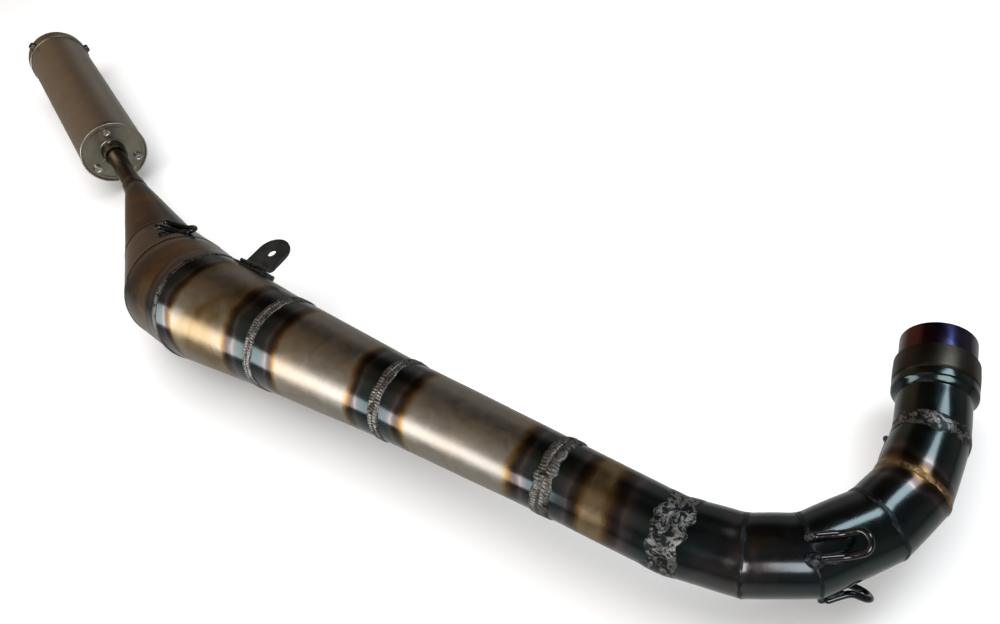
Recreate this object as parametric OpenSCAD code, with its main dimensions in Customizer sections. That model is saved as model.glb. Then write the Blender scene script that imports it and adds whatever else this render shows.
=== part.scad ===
// Two-stroke racing exhaust: a mitred header bend and an expansion chamber of welded sheet cones, with a
// slip-joint sleeve at the engine end and a silencer that turns on the tail pipe.
// The origin is the centre of the sleeve's mouth, +Y leaves the mouth, and Z is square to the bend.

/* [Header] */
// Outside radius of the header tube
header_r = 24; // [22:0.5:26]
// Length of the straight neck below the slip joint
neck_l = 33.4; // [32:0.2:40]
// Outside radius of the header where it meets the chamber
header_end_r = 26.5; // [25:0.5:30]
// Thickness of the rolled sheet
sheet_t = 1.2; // [0.8:0.1:1.6]

/* [Chamber] */
// Outside radius at the end of the first cone
cone_1_r = 28.2; // [27:0.1:31]
// Outside radius at the end of the second cone
cone_2_r = 33.2; // [32:0.1:37]
// Outside radius at the end of the third cone
cone_3_r = 42.1; // [40:0.1:46]
// Outside radius where the belly starts
belly_r = 51.8; // [48:0.1:56]
// Outside radius in the middle of the belly
belly_mid_r = 54.1; // [50:0.1:58]
// Outside radius where the baffle cone starts
baffle_r = 39.1; // [36:0.1:44]

/* [Welds] */
// Width of a weld bead
weld_w = 9; // [6:0.5:12]
// Height of a weld bead over the sheet
weld_h = 1.2; // [0.8:0.1:1.6]

/* [Slip joint] */
// Bore radius of the sleeve, which fits over the engine's spigot
sleeve_bore_r = 23; // [22:0.1:23.5]
// Outside radius of the sleeve
sleeve_r = 25.4; // [24.8:0.1:26]
// Length of the sleeve above the joint
sleeve_l = 39; // [36:1:44]
// Length of the sleeve's spigot inside the header
spigot_l = 28; // [24:1:32]
// Outside radius of the band and of the socket
band_r = 27.7; // [27:0.1:29]
// Width of the band
band_w = 20; // [16:1:22]
// Height of the seal ring
seal_h = 4; // [3:0.5:5]

/* [Hooks] */
// Diameter of the rod that the spring hooks are bent from
rod_d = 4.6; // [4:0.2:5]
// Width of a spring hook between the middles of its legs
hook_w = 13.5; // [12:0.5:15]
// Length of a hook's legs where they lie on the pipe
hook_leg = 19; // [16:1:26]
// Angle at which a hook's end leaves the pipe
hook_kick = 42; // [35:1:50]

/* [Hanger] */
// Width of the hanger tab
tab_w = 36; // [30:1:38]
// Distance from the pipe's surface to the middle of the hanger hole
tab_reach = 20.5; // [19:0.5:28]
// Thickness of the hanger's plate
plate_t = 3; // [2.5:0.5:4]
// Radius of the hanger hole
hanger_hole_r = 4.2; // [3.2:0.1:5.2]

/* [Silencer] */
// Outside radius of the tail pipe
stinger_r = 10.5; // [9.5:0.1:11]
// Outside radius of the silencer's can
can_r = 38; // [36:0.1:40]
// Length of the silencer's can
can_l = 322; // [280:1:330]
// Wall of the can
can_t = 1.5; // [1:0.1:2]
// Radius of the circle that the front cap's screws lie on
screw_ring_r = 28; // [26:0.5:30]
// Outside radius of the perforated core
core_r = 13.4; // [13.2:0.1:14]

/* [Hidden] */
$fn = 96;
joint_gap = 0.3;
run_gap = 0.05;
seat = 2;
big = 420;
over = 14;

// One row for each joint along the pipe: the length from the joint before it, the heading in the XY plane and
// the tilt out of that plane of the piece that ends there, and the outside radius at the joint.
ROUTE = [
    [0, -90, 0, header_r],
    [neck_l, -90, 0, header_r],
    [43, -102, 2, 25],
    [34, -121.5, 2, 25.5],
    [48.2, -139.9, 3.5, 26.2],
    [38.6, -168.4, -4.4, 26.8],
    [46, 178, 5, header_end_r],
    [87, 166, 4, cone_1_r],
    [152, 165, -1, cone_2_r],
    [140, 165, -1, cone_3_r],
    [112, 165, -1, belly_r],
    [60, 154.5, -13, belly_mid_r],
    [69, 143.5, -3.5, baffle_r],
    [134, 139.5, 2, 12],
    [100, 143.7, -1, 12],
];
SHELLS = [
    "header_neck", "bend_segment_1", "bend_segment_2", "bend_segment_3", "bend_segment_4", "bend_segment_5",
    "diffuser_cone_1", "diffuser_cone_2", "diffuser_cone_3", "diffuser_cone_4", "belly_band", "belly_cone",
    "baffle_cone",
];
WELDS = [
    "neck_weld", "bend_weld_1", "bend_weld_2", "bend_weld_3", "bend_weld_4", "header_weld", "diffuser_weld_1",
    "diffuser_weld_2", "diffuser_weld_3", "belly_weld_1", "belly_weld_2", "belly_weld_3", "tail_weld",
];
TAIL = 13;
front_cap_z = 2;
front_cap_t = 5;
flange_t = 3;
core_from = 28;
rear_screw_r = 3;
skirt_t = 1.6;
skirt_l = 14;
spigot_r = header_r - sheet_t - 0.2;
ring_in_r = spigot_r + run_gap;
ring_out_r = sleeve_bore_r + 1.6;
socket_y = -sleeve_l - joint_gap;
seal_y = socket_y - 2.6;
socket_floor_y = seal_y - seal_h;
steel = [0.42, 0.39, 0.36];
blued = [0.16, 0.18, 0.22];
tinted = [0.36, 0.30, 0.24];
silver = [0.75, 0.75, 0.74];

// Unit vector with a heading in the XY plane and a tilt out of it.
function toward(heading, tilt) = [cos(heading) * cos(tilt), sin(heading) * cos(tilt), sin(tilt)];
// Direction, length and half angle of the piece that ends at joint i, and the place of joint i.
function way(i) = toward(ROUTE[i][1], ROUTE[i][2]);
function len_of(i) = ROUTE[i][0];
function half_angle(i) = asin((ROUTE[i][3] - ROUTE[i - 1][3]) / len_of(i));
function place(i) = i == 0 ? [0, socket_floor_y, 0] : place(i - 1) + len_of(i) * way(i);
// Normal of the cut at joint i. Two cones round one sphere meet in a plane: this is that plane's normal.
function cut_way(i) =
    i == 0 ? way(1) :
    i == TAIL + 1 ? way(i) :
    way(i) / cos(half_angle(i)) + way(i + 1) / cos(half_angle(i + 1));
function cut_shift(i) =
    i == 0 || i == TAIL + 1 ? 0 :
    -ROUTE[i][3] * (tan(half_angle(i)) + tan(half_angle(i + 1))) / norm(cut_way(i));
// Radius of piece i at a distance s after the joint that it starts from.
function radius_at(i, s) = (ROUTE[i - 1][3] + s * sin(half_angle(i))) / cos(half_angle(i));

// Turns +Z to a direction, then moves to a point.
module aim(point, d) {
    translate(point)
        rotate([0, acos(d.z / norm(d)), atan2(d.y, d.x)])
            children();
}

// The half space beyond (side 1) or before (side -1) the cut at joint i, moved along the pipe by shift.
module beyond(i, side, shift = 0) {
    aim(place(i), cut_way(i))
        translate([-big / 2, -big / 2, cut_shift(i) + shift - (side < 0 ? big : 0)])
            cube(big);
}

// The solid cone of piece i, grown outward by grow and longer than the piece at both ends.
module cone(i, grow = 0, extra = over) {
    aim(place(i - 1), way(i))
        translate([0, 0, -extra])
            cylinder(
                h = len_of(i) + 2 * extra,
                r1 = radius_at(i, -extra) + grow / cos(half_angle(i)),
                r2 = radius_at(i, len_of(i) + extra) + grow / cos(half_angle(i)));
}

// The rolled sheet of piece i, cut at both of its joints.
module shell(i) {
    difference() {
        intersection() {
            cone(i);
            beyond(i - 1, 1);
            beyond(i, -1);
        }
        cone(i, -sheet_t, over + 2);
    }
}

// The bead round joint i: one half ring on each of the two sheets, which all but meet at the cut.
module weld(i, width = weld_w) {
    difference() {
        intersection() {
            cone(i, weld_h);
            beyond(i, -1);
            beyond(i, 1, -width / 2);
        }
        cone(i, 0, over + 2);
    }
    difference() {
        intersection() {
            cone(i + 1, weld_h);
            beyond(i, 1, 0.02);
            beyond(i, -1, width / 2);
        }
        cone(i + 1, 0, over + 2);
    }
}

// The room that the bead round joint i takes, which a hook's rods keep out of.
module weld_room(i) {
    intersection() {
        union() {
            intersection() {
                cone(i, weld_h + run_gap);
                beyond(i, -1);
            }
            intersection() {
                cone(i + 1, weld_h + run_gap);
                beyond(i, 1);
            }
        }
        beyond(i, 1, -weld_w / 2 - run_gap);
        beyond(i, -1, weld_w / 2 + run_gap);
    }
}

// Puts children on the surface of piece i: X along the pipe, Z straight out of it. The angle is counted
// about the pipe from the outer side of the bend towards +Z.
module on_pipe(i, s, angle) {
    d = way(i);
    u = cross([0, 0, 1], d) / norm(cross([0, 0, 1], d));
    w = cross(d, u);
    out = cos(angle) * u + sin(angle) * w;
    side = cross(out, d);
    p = place(i - 1) + s * d + radius_at(i, s) * out;
    multmatrix([
        [d.x, side.x, out.x, p.x],
        [d.y, side.y, out.y, p.y],
        [d.z, side.z, out.z, p.z],
    ])
        children();
}

// A rod between two points.
module rod(a, b) {
    aim(a, b - a)
        cylinder(h = norm(b - a), d = rod_d);
}

// A bent rod hook: two legs on the pipe, and a half ring that stands off it. It points along -X.
module hook(leg, end, kick) {
    rise = rod_d / 2 - 0.2;
    knee = [-leg, 0, rise];
    tip = knee + end * [-cos(kick), 0, sin(kick)];
    for (y = [-hook_w / 2, hook_w / 2]) {
        rod([0, y, rise], knee + [0, y, 0]);
        rod(knee + [0, y, 0], tip + [0, y, 0]);
        for (p = [knee, tip])
            translate(p + [0, y, 0])
                sphere(d = rod_d + 0.1);
    }
    translate(tip)
        rotate([0, kick, 0])
            rotate([0, 0, 90])
                rotate_extrude(angle = 180)
                    translate([hook_w / 2, 0])
                        circle(d = rod_d, $fn = 32);
}

// A plain turned ring along the sleeve's axis, from one y down to another.
module ring_y(from_y, to_y, r_out, r_in) {
    translate([0, from_y, 0])
        rotate([90, 0, 0])
            difference() {
                cylinder(h = from_y - to_y, r = r_out);
                translate([0, 0, -1])
                    cylinder(h = from_y - to_y + 2, r = r_in);
            }
}

// Revolves an outline of [radius, y] points about the sleeve's axis.
module turned_y(outline) {
    rotate([-90, 0, 0])
        rotate_extrude()
            polygon(outline);
}

module header_socket() {
    bevel_y = socket_y - 6.5;
    foot_y = bevel_y - 4;
    color(blued)
        turned_y([
            [ring_out_r + run_gap, socket_y], [band_r - 0.6, socket_y], [band_r, socket_y - 0.6],
            [band_r, bevel_y], [header_r + 1, foot_y], [header_r, foot_y],
            [header_r, socket_floor_y], [ring_out_r + run_gap, socket_floor_y],
        ]);
}

module seal_ring() {
    color([0.5, 0.35, 0.25])
        ring_y(seal_y, socket_floor_y + run_gap, ring_out_r, ring_in_r);
}

module inlet_sleeve() {
    step_y = -sleeve_l + 2;
    color([0.15, 0.1, 0.14])
        turned_y([
            [sleeve_bore_r, 0], [sleeve_r - 0.5, 0], [sleeve_r, -0.5], [sleeve_r, -sleeve_l],
            [spigot_r, -sleeve_l], [spigot_r, -sleeve_l - spigot_l + 1], [spigot_r - 1, -sleeve_l - spigot_l],
            [spigot_r - 1.8, -sleeve_l - spigot_l], [spigot_r - 1.8, step_y], [sleeve_bore_r, step_y],
        ]);
}

module sleeve_band() {
    top_y = -sleeve_l + band_w;
    color([0.33, 0.31, 0.28])
        turned_y([
            [sleeve_r, top_y], [band_r - 1, top_y], [band_r, top_y - 1.5],
            [band_r, -sleeve_l + 1], [band_r - 0.6, -sleeve_l], [sleeve_r, -sleeve_l],
        ]);
}

module spring_hook_top() {
    color(blued)
        difference() {
            on_pipe(4, 51, 74)
                rotate([0, 0, -18])
                    hook(hook_leg, 8, hook_kick);
            cone(4);
            cone(5);
            weld_room(4);
        }
}

module spring_hook_outer() {
    color(blued)
        difference() {
            on_pipe(4, 49, -50)
                rotate([0, 0, 12])
                    hook(hook_leg - 2, 8, hook_kick);
            cone(4);
            cone(5);
            weld_room(4);
        }
}

module spring_hook_inner() {
    color(blued)
        difference() {
            on_pipe(2, 19, 222)
                hook(14, 3, hook_kick);
            cone(2);
            weld_room(1);
        }
}

module chamber_hook() {
    color(blued)
        difference() {
            on_pipe(TAIL - 1, 38, 126)
                rotate([0, 0, 50])
                    translate([17, 0, -1])
                        hook(22, 6, 20);
            cone(TAIL - 1);
            weld_room(TAIL - 1);
        }
}

// The hanger's own frame: on the side of the last diffuser cone, on the inside of the bend.
module at_hanger() {
    on_pipe(10, 74, 159)
        children();
}

module hanger_foot() {
    color(blued)
        difference() {
            at_hanger()
                translate([-tab_w / 2, -9, -seat])
                    cube([tab_w / 2 + 26, 17, seat + plate_t]);
            cone(10);
        }
}

module hanger_tab() {
    color(blued)
        difference() {
            at_hanger()
                translate([0, 0, plate_t])
                    rotate([-68, 0, 0])
                        translate([0, 0, -plate_t / 2])
                            tab_plate();
            at_hanger()
                translate([-50, -50, plate_t - 100])
                    cube(100);
        }
}

// The flat tab with its round end and its hole. It runs along -Y, and its root is longer than it needs.
module tab_plate() {
    difference() {
        union() {
            translate([-tab_w / 2, -tab_reach, 0])
                cube([tab_w, tab_reach + 4, plate_t]);
            translate([0, -tab_reach, 0])
                cylinder(h = plate_t, d = tab_w);
        }
        translate([0, -tab_reach, -1])
            cylinder(h = plate_t + 2, r = hanger_hole_r);
    }
}

module stinger_collar() {
    color(tinted)
        difference() {
            intersection() {
                cone(TAIL + 1);
                beyond(TAIL, 1);
                beyond(TAIL, -1, 13);
            }
            tail_rod(stinger_r, -over, 40);
        }
}

module stinger_tube() {
    color(tinted)
        difference() {
            intersection() {
                tail_rod(stinger_r, -over, len_of(TAIL + 1) + core_from + 6);
                beyond(TAIL, 1);
            }
            tail_rod(stinger_r - sheet_t, -over - 2, len_of(TAIL + 1) + core_from + 8);
        }
}

// A rod on the tail pipe's axis, between two distances from the tail joint.
module tail_rod(r, from_s, to_s) {
    aim(place(TAIL), way(TAIL + 1))
        translate([0, 0, from_s])
            cylinder(h = to_s - from_s, r = r);
}

// The silencer's own frame: its front edge at z = 0, and +Z towards its outlet.
module at_silencer() {
    aim(place(TAIL + 1), way(TAIL + 1))
        children();
}

// Places children at the three cap screws of one end.
module at_screws(first) {
    for (k = [0:2])
        rotate([0, 0, first + 120 * k])
            children();
}

module silencer_front_cap() {
    r = can_r - can_t - run_gap;
    color(silver)
        at_silencer()
            difference() {
                translate([0, 0, front_cap_z])
                    cylinder(h = front_cap_t, r = r);
                translate([0, 0, front_cap_z - 1])
                    cylinder(h = front_cap_t + 2, r = core_r + run_gap);
                at_screws(73)
                    translate([screw_ring_r, 0, front_cap_z - 1])
                        cylinder(h = front_cap_t + 2, r = 2.6);
            }
}

module core_flange() {
    z = front_cap_z + front_cap_t;
    color(steel)
        at_silencer()
            difference() {
                union() {
                    translate([0, 0, -9])
                        cylinder(h = core_from + 9, r = core_r);
                    translate([0, 0, z])
                        cylinder(h = flange_t, r = screw_ring_r + 6);
                }
                translate([0, 0, -10])
                    cylinder(h = core_from + 12, r = stinger_r + run_gap);
                at_screws(73)
                    translate([screw_ring_r, 0, z - 1])
                        cylinder(h = flange_t + 2, r = 2.5);
            }
}

module perforated_core() {
    to_z = can_l - 12;
    color(silver)
        at_silencer()
            difference() {
                translate([0, 0, core_from])
                    cylinder(h = to_z - core_from, r = core_r);
                translate([0, 0, core_from - 1])
                    cylinder(h = to_z - core_from + 2, r = core_r - 1.2);
                for (row = [1:7], turn = [0:2])
                    translate([0, 0, core_from + row * 32])
                        rotate([0, 90, 60 * turn + 30 * (row % 2)])
                            cylinder(h = 4 * core_r, r = 2.5, center = true, $fn = 24);
            }
}

module packing() {
    from_z = front_cap_z + front_cap_t + flange_t + 4;
    color([0.9, 0.85, 0.6])
        at_silencer()
            difference() {
                translate([0, 0, from_z])
                    cylinder(h = can_l - 16 - from_z, r = can_r - can_t - 0.2);
                translate([0, 0, from_z - 1])
                    cylinder(h = can_l, r = core_r + 0.2);
            }
}

module silencer_can() {
    inner = can_r - can_t;
    color([0.62, 0.58, 0.53])
        at_silencer()
            difference() {
                rotate_extrude()
                    polygon([
                        [inner, 0.7], [inner + 0.5, 0], [can_r - 0.5, 0], [can_r, 0.7],
                        [can_r, can_l], [inner, can_l],
                    ]);
                at_rear_screws()
                    translate([0, 0, -1])
                        cylinder(h = 9, r = rear_screw_r + run_gap);
            }
}

module silencer_rear_cap() {
    inner = can_r - can_t - run_gap;
    skirt_in = can_r + run_gap;
    skirt_r = can_r + skirt_t;
    color(silver)
        at_silencer()
            difference() {
                rotate_extrude()
                    polygon([
                        [inner, can_l - 12], [inner, can_l], [skirt_in, can_l], [skirt_in, can_l - skirt_l],
                        [skirt_r, can_l - skirt_l], [skirt_r, can_l + 3], [skirt_r - 1.6, can_l + 6],
                        [can_r - 3.6, can_l + 7.6], [can_r - 6, can_l + 8],
                        [core_r, can_l + 8], [core_r, can_l + 5], [inner - 3, can_l + 5],
                        [inner - 3, can_l - 12],
                    ]);
                at_rear_screws()
                    translate([0, 0, -1])
                        cylinder(h = 9, r = rear_screw_r + run_gap);
            }
}

module outlet_tip() {
    color(silver)
        at_silencer()
            translate([0, 0, can_l - 12])
                difference() {
                    cylinder(h = 36, r = core_r);
                    translate([0, 0, -1])
                        cylinder(h = 38, r = core_r - 1.5);
                }
}

module front_cap_screws() {
    color(silver)
        at_silencer()
            at_screws(73)
                translate([screw_ring_r, 0, front_cap_z])
                    socket_screw(4.2, 4.2, 2.5, front_cap_t + flange_t + 2);
}

// A socket-head screw: its head stands below z = 0 and its shank runs up from it.
module socket_screw(head_r, head_h, shank_r, shank_l) {
    difference() {
        translate([0, 0, -head_h])
            cylinder(h = head_h, r = head_r);
        translate([0, 0, -head_h - 1])
            cylinder(h = head_h * 0.6 + 1, r = head_r * 0.55, $fn = 6);
    }
    cylinder(h = shank_l, r = shank_r);
}

// The rear cap's screws: z = 0 is the surface of the cap's skirt, and +Z runs in towards its axis.
module at_rear_screws() {
    at_screws(32)
        translate([can_r + skirt_t, 0, can_l - 7])
            rotate([0, -90, 0])
                children();
}

module rear_cap_screws() {
    head_h = 4.4;
    color(silver)
        at_silencer()
            at_rear_screws()
                difference() {
                    union() {
                        translate([0, 0, -head_h])
                            cylinder(h = head_h, r1 = 4.2, r2 = 5.6);
                        cylinder(h = 6, r = rear_screw_r);
                    }
                    translate([0, 0, -head_h - 0.6])
                        cylinder(h = 3, r = 2.3, $fn = 6);
                }
}

for (k = [0 : len(SHELLS) - 1])
    color(k < 6 ? blued : steel)
            shell(k + 1);
for (k = [0 : len(WELDS) - 1])
    color(silver)
            weld(k + 1);
header_socket();
seal_ring();
inlet_sleeve();
sleeve_band();
spring_hook_top();
spring_hook_outer();
spring_hook_inner();
chamber_hook();
hanger_foot();
hanger_tab();
stinger_collar();
stinger_tube();
silencer_front_cap();
core_flange();
perforated_core();
packing();
silencer_can();
silencer_rear_cap();
outlet_tip();
front_cap_screws();
rear_cap_screws();
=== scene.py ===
"""Racing exhaust: finished surfaces for the welded pipe, its slip joint, its brackets and its silencer.

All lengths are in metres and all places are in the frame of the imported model: the origin is the centre of
the sleeve's mouth, +Y leaves the mouth, and Z is square to the bend.
"""

import logging
from dataclasses import dataclass, field
from enum import Enum

import bpy
import numpy as np
from mathutils import Matrix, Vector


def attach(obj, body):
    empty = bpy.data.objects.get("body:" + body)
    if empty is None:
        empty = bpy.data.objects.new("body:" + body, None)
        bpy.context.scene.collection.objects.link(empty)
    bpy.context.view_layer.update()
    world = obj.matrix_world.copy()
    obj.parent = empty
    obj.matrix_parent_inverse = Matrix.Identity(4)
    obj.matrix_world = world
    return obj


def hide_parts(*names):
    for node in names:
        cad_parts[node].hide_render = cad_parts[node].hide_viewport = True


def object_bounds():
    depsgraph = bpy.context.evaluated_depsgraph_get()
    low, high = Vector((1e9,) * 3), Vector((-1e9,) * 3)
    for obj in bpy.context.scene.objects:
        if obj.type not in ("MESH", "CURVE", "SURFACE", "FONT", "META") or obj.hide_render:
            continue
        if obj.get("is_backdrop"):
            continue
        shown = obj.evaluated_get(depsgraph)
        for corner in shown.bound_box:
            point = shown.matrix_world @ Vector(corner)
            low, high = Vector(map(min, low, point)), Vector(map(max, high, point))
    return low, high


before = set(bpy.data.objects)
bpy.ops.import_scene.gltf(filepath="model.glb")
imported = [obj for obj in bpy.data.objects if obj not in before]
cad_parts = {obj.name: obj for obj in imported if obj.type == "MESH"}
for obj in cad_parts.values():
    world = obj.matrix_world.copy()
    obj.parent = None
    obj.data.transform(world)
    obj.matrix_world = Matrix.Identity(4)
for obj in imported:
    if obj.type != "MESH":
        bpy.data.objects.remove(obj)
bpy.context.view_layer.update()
LOG = logging.getLogger("exhaust")
Array = np.ndarray
TAU = 2 * np.pi


class Body(Enum):
    """The bodies that pieces ride on."""

    PIPE = "pipe"
    SLEEVE = "sleeve"
    SILENCER = "silencer"


class Slot(Enum):
    """The record's material slots, one named for each piece made here; finished takes the name but does not
    use it.
    """

    HEADER = "header_steel"
    CHAMBER = "chamber_steel"
    WELD = "weld"
    SLEEVE = "sleeve"
    BAND = "band"
    BRACKET = "bracket"
    TAIL = "tail_steel"
    CAP = "cap"
    CAN = "can"
    SCREWS = "screws"


# ---------------------------------------------------------------- surfaces


def unit(v: Array) -> Array:
    """The vectors along the last axis, each divided by its length."""
    return v / np.linalg.norm(v, axis=-1, keepdims=True)


def circle_angles(count: int) -> Array:
    """Evenly spaced angles once round, without the repeated last one."""
    return np.arange(count) * (TAU / count)


def soft_noise(shape: tuple[int, int], seed: int, blur: tuple[float, float]) -> Array:
    """Smooth random numbers on a grid that wraps both ways.

    White noise is multiplied, in the frequency plane, by exp(-2 (pi f b)^2) for a blur of b grid steps.

    Args:
        shape: Rows and columns.
        seed: Seed of the random numbers.
        blur: Width of the blur along rows and along columns, in grid steps.

    Returns:
        The grid, scaled so that its largest size is 1.
    """
    white = np.random.default_rng(seed).standard_normal(shape)
    down = np.fft.fftfreq(shape[0])[:, None] * blur[0]
    along = np.fft.fftfreq(shape[1])[None, :] * blur[1]
    keep = np.exp(-2 * np.pi ** 2 * (down ** 2 + along ** 2))
    smooth = np.fft.ifft2(np.fft.fft2(white) * keep).real
    smooth -= smooth.mean()
    return smooth / np.abs(smooth).max()


def rounded(outline: Array, radius: float, steps: int = 5, closed: bool = True) -> Array:
    """Rounds an outline's corners: each becomes a quadratic curve from one side's point to the next side's.

    Args:
        outline: Corner points, one row each.
        radius: Distance from a corner at which its curve starts, at most 0.45 of either side.
        steps: Points on each curve.
        closed: Whether the last corner joins the first. An open outline keeps its two end points.

    Returns:
        The rounded outline's points.
    """
    before, after = np.roll(outline, 1, 0), np.roll(outline, -1, 0)
    back, ahead = before - outline, after - outline
    back_length = np.linalg.norm(back, axis=1, keepdims=True)
    ahead_length = np.linalg.norm(ahead, axis=1, keepdims=True)
    enter = outline + back / back_length * np.minimum(radius, 0.45 * back_length)
    leave = outline + ahead / ahead_length * np.minimum(radius, 0.45 * ahead_length)
    t = np.linspace(0, 1, steps)[None, :, None]
    curve = (1 - t) ** 2 * enter[:, None] + 2 * t * (1 - t) * outline[:, None] + t ** 2 * leave[:, None]
    if closed:
        return curve.reshape(-1, outline.shape[1])
    return np.concatenate([outline[:1], curve[1:-1].reshape(-1, outline.shape[1]), outline[-1:]])


def even_steps(path: Array, step: float) -> Array:
    """The same path with points at even distances of about one step along it."""
    length = np.r_[0, np.cumsum(np.linalg.norm(np.diff(path, axis=0), axis=1))]
    at = np.linspace(0, length[-1], max(3, int(length[-1] / step) + 1))
    return np.stack([np.interp(at, length, path[:, k]) for k in range(3)], axis=1)


def surface(name: str, grid: Array, wrap_rows: bool = True, marks: dict[str, Array] | None = None,
            sharp: float = 40.0) -> bpy.types.Object:
    """Makes a closed mesh from a grid of points whose columns go round.

    Quad (i, j) joins grid points (i, j), (i+1, j), (i+1, j+1) and (i, j+1). Where rows don't wrap, the first
    and last ring are each closed by a fan to their middle. The faces are turned so that the volume is
    positive.

    Args:
        name: The piece's name.
        grid: Points with shape (rows, columns, 3).
        wrap_rows: Whether the last ring joins the first one.
        marks: Values for each grid point, stored as attributes under their keys.
        sharp: Angle in degrees over which an edge is shaded sharp.

    Returns:
        The new object, linked into the scene.
    """
    rows, columns = grid.shape[:2]
    points = grid.reshape(-1, 3)
    i = np.arange(rows if wrap_rows else rows - 1)[:, None]
    j = np.arange(columns)[None, :]
    right = (j + 1) % columns
    below = (i + 1) % rows
    quads = np.stack(
        [i * columns + j, below * columns + j, below * columns + right, i * columns + right], axis=-1)
    quads = quads.reshape(-1, 4)
    fans = np.zeros((0, 3), int)
    if not wrap_rows:
        ends = np.stack([grid[0].mean(0), grid[-1].mean(0)])
        first, last = len(points), len(points) + 1
        points = np.concatenate([points, ends])
        here, there = j[0], right[0]
        low = np.stack([np.full(columns, first), here, there], axis=-1)
        base = (rows - 1) * columns
        high = np.stack([np.full(columns, last), base + there, base + here], axis=-1)
        fans = np.concatenate([low, high])
    corners = np.concatenate([quads[:, :3], quads[:, [0, 2, 3]], fans])
    a, b, c = points[corners[:, 0]], points[corners[:, 1]], points[corners[:, 2]]
    if np.einsum("ij,ij->", a, np.cross(b, c)) < 0:
        quads, fans = quads[:, ::-1], fans[:, ::-1]
    sizes = np.r_[np.full(len(quads), 4), np.full(len(fans), 3)]
    mesh = bpy.data.meshes.new(name)
    mesh.vertices.add(len(points))
    mesh.vertices.foreach_set("co", points.astype(np.float32).ravel())
    mesh.loops.add(int(sizes.sum()))
    mesh.loops.foreach_set("vertex_index", np.r_[quads.ravel(), fans.ravel()].astype(np.int32))
    mesh.polygons.add(len(sizes))
    mesh.polygons.foreach_set("loop_start", np.r_[0, np.cumsum(sizes)[:-1]].astype(np.int32))
    mesh.update(calc_edges=True)
    for key, values in (marks or {}).items():
        layer = mesh.attributes.new(key, "FLOAT", "POINT")
        filled = np.broadcast_to(values, (rows, columns)).astype(np.float32).ravel()
        middles = [] if wrap_rows else [filled[0], filled[-1]]
        layer.data.foreach_set("value", np.r_[filled, middles].astype(np.float32))
    mesh.shade_smooth()
    mesh.set_sharp_from_angle(angle=np.radians(sharp))
    piece = bpy.data.objects.new(name, mesh)
    bpy.context.scene.collection.objects.link(piece)
    return piece


@dataclass(frozen=True)
class Stand:
    """A right-handed place to build on: an origin and three unit directions, as the rows of axes."""

    origin: Array
    axes: Array

    def world(self, local: Array) -> Array:
        """Points given in this stand's own x, y and z, as points of the model."""
        return self.origin + local @ self.axes

    def moved(self, x: float = 0.0, y: float = 0.0, z: float = 0.0) -> "Stand":
        """The same directions at another place, given in this stand's own x, y and z."""
        return Stand(self.world(np.array([x, y, z])), self.axes)

    def turned(self, degrees: float) -> "Stand":
        """The same place with x and y turned about z."""
        c, s = np.cos(np.radians(degrees)), np.sin(np.radians(degrees))
        return Stand(self.origin, np.array([[c, s, 0], [-s, c, 0], [0, 0, 1]]) @ self.axes)


def lathe(name: str, stand: Stand, outline: Array, sides: int = 144, closed: bool = True,
          swell: Array | None = None, sharp: float = 40.0) -> bpy.types.Object:
    """Turns an outline of [radius, z] points about a stand's z axis: (r cos a, r sin a, z).

    Args:
        name: The piece's name.
        stand: Where the axis stands.
        outline: Points [radius, z]. A closed one is a ring's section; an open one is a solid's side.
        sides: Number of steps round.
        closed: Whether the outline is a closed loop.
        swell: Lengths added to the radius, with shape (points, sides).
        sharp: Angle in degrees over which an edge is shaded sharp.

    Returns:
        The new object.
    """
    turn = circle_angles(sides)[None, :]
    radius = outline[:, :1] + (0 if swell is None else swell)
    height = np.broadcast_to(outline[:, 1:], (len(outline), sides))
    local = np.stack([radius * np.cos(turn), radius * np.sin(turn), height], axis=-1)
    return surface(name, stand.world(local), closed, sharp=sharp)


def bar(name: str, path: Array, radius: float | Array, hint: Array, sides: int = 20,
        rough: float = 0.0, seed: int = 0) -> bpy.types.Object:
    """Round bar along a path: the ring at point k is path[k] + r (cos a side + sin a up), with round ends.

    Args:
        name: The piece's name.
        path: Points along the middle of the bar, evenly spaced.
        radius: The bar's radius, or one radius for each point.
        hint: A direction that is never along the path. side is square to it and to the path.
        sides: Number of steps round.
        rough: Part of the radius by which smooth noise lifts the surface.
        seed: Seed of that noise.

    Returns:
        The new object.
    """
    tangent = unit(np.gradient(path, axis=0))
    side = unit(np.cross(tangent, hint))
    up = np.cross(side, tangent)
    length = np.r_[0, np.cumsum(np.linalg.norm(np.diff(path, axis=0), axis=1))]
    thick = np.broadcast_to(radius, (len(path),))
    near = np.minimum(length, length[-1] - length) / thick
    thick = thick * np.sqrt(np.clip(1 - (1 - np.minimum(near, 1)) ** 2, 0.02, 1))
    turn = circle_angles(sides)[None, :, None]
    swell = 1 + rough * soft_noise((len(path), sides), seed, (1.6, 1.2)) if rough else np.ones((1, 1))
    ring = np.cos(turn) * side[:, None] + np.sin(turn) * up[:, None]
    grid = path[:, None] + (thick[:, None] * swell)[..., None] * ring
    return surface(name, grid, False, sharp=75.0)


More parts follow.
